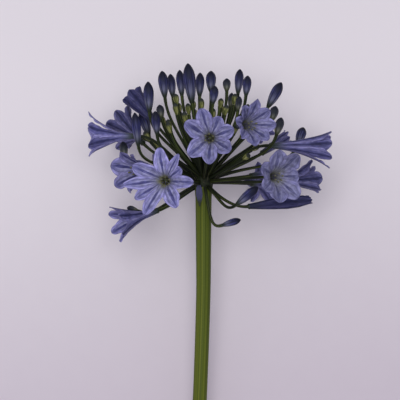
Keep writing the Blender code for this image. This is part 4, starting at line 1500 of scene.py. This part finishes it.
    def add_bracteoles(self, draft: Draft, palette: Palette, draw: random.Random) -> None:
        """Adds the thin papery threads that stand among the pedicels' roots.

        Args:
            draft: The green stem's draft.
            palette: The finishes.
            draw: The seeded draw of the threads' places.
        """
        for index in range(self.bracteole_count):
            turn = 2 * math.pi * index / self.bracteole_count + draw.uniform(-0.15, 0.15)
            out = np.array((math.cos(turn), 0.0, math.sin(turn)))
            start = out * 6.4 + (0, -2.0, 0)
            middle = out * 9.0 + (0, draw.uniform(0.5, 2.5), 0)
            end = out * draw.uniform(12.0, 15.0) + (0, draw.uniform(3.0, 8.0), 0)
            rings = swept(np.array((start, middle, end)), np.linspace(0.5, 0.1, 10), 6)
            draft.round(HEAD.points(rings), palette.bracteole, ribs=2)


@dataclass(frozen=True)
class Bract:
    """The dry bract that hangs in front of the scape's top."""

    line: tuple = (
        (-3.4, -2.6, 9.0), (-3.4, -5.0, 10.0), (-3.2, -9.5, 9.6), (-3.0, -14.0, 8.8), (-2.9, -18.5, 8.3)
    )
    half_widths: tuple = (1.2, 2.3, 2.5, 1.7, 0.35)
    thickness: float = 0.3
    crinkle_height: float = 0.18
    cupping: float = 0.35
    rows: int = 26
    columns: int = 9

    def build(self, palette: Palette) -> None:
        """Builds the bract's piece.

        Args:
            palette: The finishes.
        """
        shares = np.linspace(0, 1, self.rows)
        known = np.linspace(0, 1, len(self.line))
        places = np.stack([np.interp(shares, known, column) for column in zip(*self.line)], -1)
        widths = np.interp(shares, known, self.half_widths)
        across = np.linspace(-1, 1, self.columns)
        crinkle = self.crinkle_height * np.sin(9 * shares[:, None] + 4 * across) * np.abs(across)
        sideways = widths[:, None] * across
        forwards = self.cupping * across ** 2 - 0.1 + crinkle
        front = places[:, None] + np.stack((sideways, np.zeros_like(sideways), forwards), -1)
        back = front - np.array((0.0, 0.0, self.thickness))
        rings = np.concatenate((front, back[:, ::-1]), axis=1)
        whole = np.concatenate((across, across[::-1]))
        draft = Draft("bract_skin")
        marks = {"along": shares, "across": np.broadcast_to(whole, rings.shape[:2])}
        draft.tube(HEAD.points(rings), palette.bract, marks, Cap.STRIP, Cap.STRIP)
        draft.piece(Slot.BRACT, "bract")


@dataclass(frozen=True)
class Studio:
    """The pale floor, the soft lights and the camera."""

    floor_size: float = 6.0
    floor_colour: tuple = tint(242, 236, 240)
    # Painted shade: the darker floor colour towards the cut end.
    painted_floor_shade: tuple = tint(208, 197, 208)
    world_colour: tuple = tint(226, 224, 236)
    world_strength: float = 0.54
    camera_place: Triple = (-2.66, -13.68, 1250.0)
    pixel: float = 0.76
    picture_width: float = 400.0
    sensor: float = 36.0

    def build(self) -> None:
        """Builds floor, lights, world and camera, with colours shown as they are."""
        bpy.context.scene.view_settings.view_transform = "Standard"
        self.add_floor()
        self.add_world()
        self.add_light("key", place=(-90.0, 150.0, 1600.0), size=0.9, power=11.3)
        self.add_light("fill", place=(-500.0, 600.0, 1500.0), size=1.6, power=1.5)
        self.add_camera()

    def add_floor(self) -> None:
        """Adds the floor, finely mottled as matt board is, with painted shade darkening it towards the cut
        end and a little to the right.
        """
        half = self.floor_size / 2
        corners = [(-half, -half, 0), (half, -half, 0), (half, half, 0), (-half, half, 0)]
        mesh = bpy.data.meshes.new("floor")
        mesh.from_pydata(corners, [], [(0, 1, 2, 3)])
        graph = Graph("pale_board")
        place = graph.place()
        grain = graph.noise(place, 60.0, 2.0)
        across = graph.node("ShaderNodeSeparateXYZ", None, {0: place}, "X")
        along = graph.node("ShaderNodeSeparateXYZ", None, {0: place}, "Y")
        # Painted shade: the floor darkens towards the stem's cut end and a little towards the right, as
        # falling-off light would darken it.
        slant = along - across * 0.12 + (grain - 0.5) * 0.02
        fade = graph.rise(slant, 0.22, -0.17)
        colour = graph.blend(fade, self.floor_colour, self.painted_floor_shade)
        mesh.materials.append(graph.close(Base_Color=colour, Roughness=0.95, Specular_IOR_Level=0.1))
        floor = bpy.data.objects.new("floor", mesh)
        bpy.context.scene.collection.objects.link(floor)

    def add_world(self) -> None:
        """Adds the pale surroundings."""
        world = bpy.data.worlds.new("pale_room")
        world.use_nodes = True
        sky = world.node_tree.nodes["Background"]
        sky.inputs["Color"].default_value = self.world_colour
        sky.inputs["Strength"].default_value = self.world_strength
        bpy.context.scene.world = world

    def add_light(self, name: str, place: Triple, size: float, power: float) -> None:
        """Adds a square soft light that looks at the head.

        Args:
            name: The light's name.
            place: Its place in the head's directions, in millimetres.
            size: Its side in metres.
            power: Its power in watts.
        """
        light = bpy.data.lights.new(name, "AREA")
        light.size = size
        light.energy = power
        lamp = bpy.data.objects.new(name, light)
        spot = Vector(HEAD.points(np.array(place)) * MM)
        aim = Vector(HEAD.points(np.array((0.0, 0.0, 0.0))) * MM)
        lamp.location = spot
        lamp.rotation_euler = (aim - spot).to_track_quat("-Z", "Y").to_euler()
        bpy.context.scene.collection.objects.link(lamp)

    def add_camera(self) -> None:
        """Adds the camera, which looks down at the head's front."""
        lens = bpy.data.cameras.new("camera")
        lens.sensor_width = self.sensor
        lens.lens = self.sensor * self.camera_place[2] / (self.picture_width * self.pixel)
        camera = bpy.data.objects.new("camera", lens)
        matrix = Matrix(HEAD.turn.tolist()).to_4x4()
        matrix.translation = Vector(HEAD.points(np.array(self.camera_place)) * MM)
        camera.matrix_world = matrix
        bpy.context.scene.collection.objects.link(camera)
        bpy.context.scene.camera = camera


class FlowerStem:
    """The whole cut stem: florets, buds, green stem and bract."""

    seed: int = 4107

    def build(self) -> None:
        """Builds every piece in order."""
        palette = Palette()
        draw = random.Random(self.seed)
        ends = []
        for floret in FLORETS:
            foot, facing = floret.build(palette, draw)
            ends.append((foot, facing, floret.via))
        for bud in BUDS:
            foot, axis = bud.build(palette)
            ends.append((foot, axis, bud.via))
        GreenStem().build(palette, ends)
        Bract().build(palette)


def main() -> None:
    """Builds the flower stem and the studio."""
    logging.basicConfig(level=logging.INFO, format="%(name)s: %(message)s")
    Studio().build()
    FlowerStem().build()


if __name__ == "__main__":
    main()
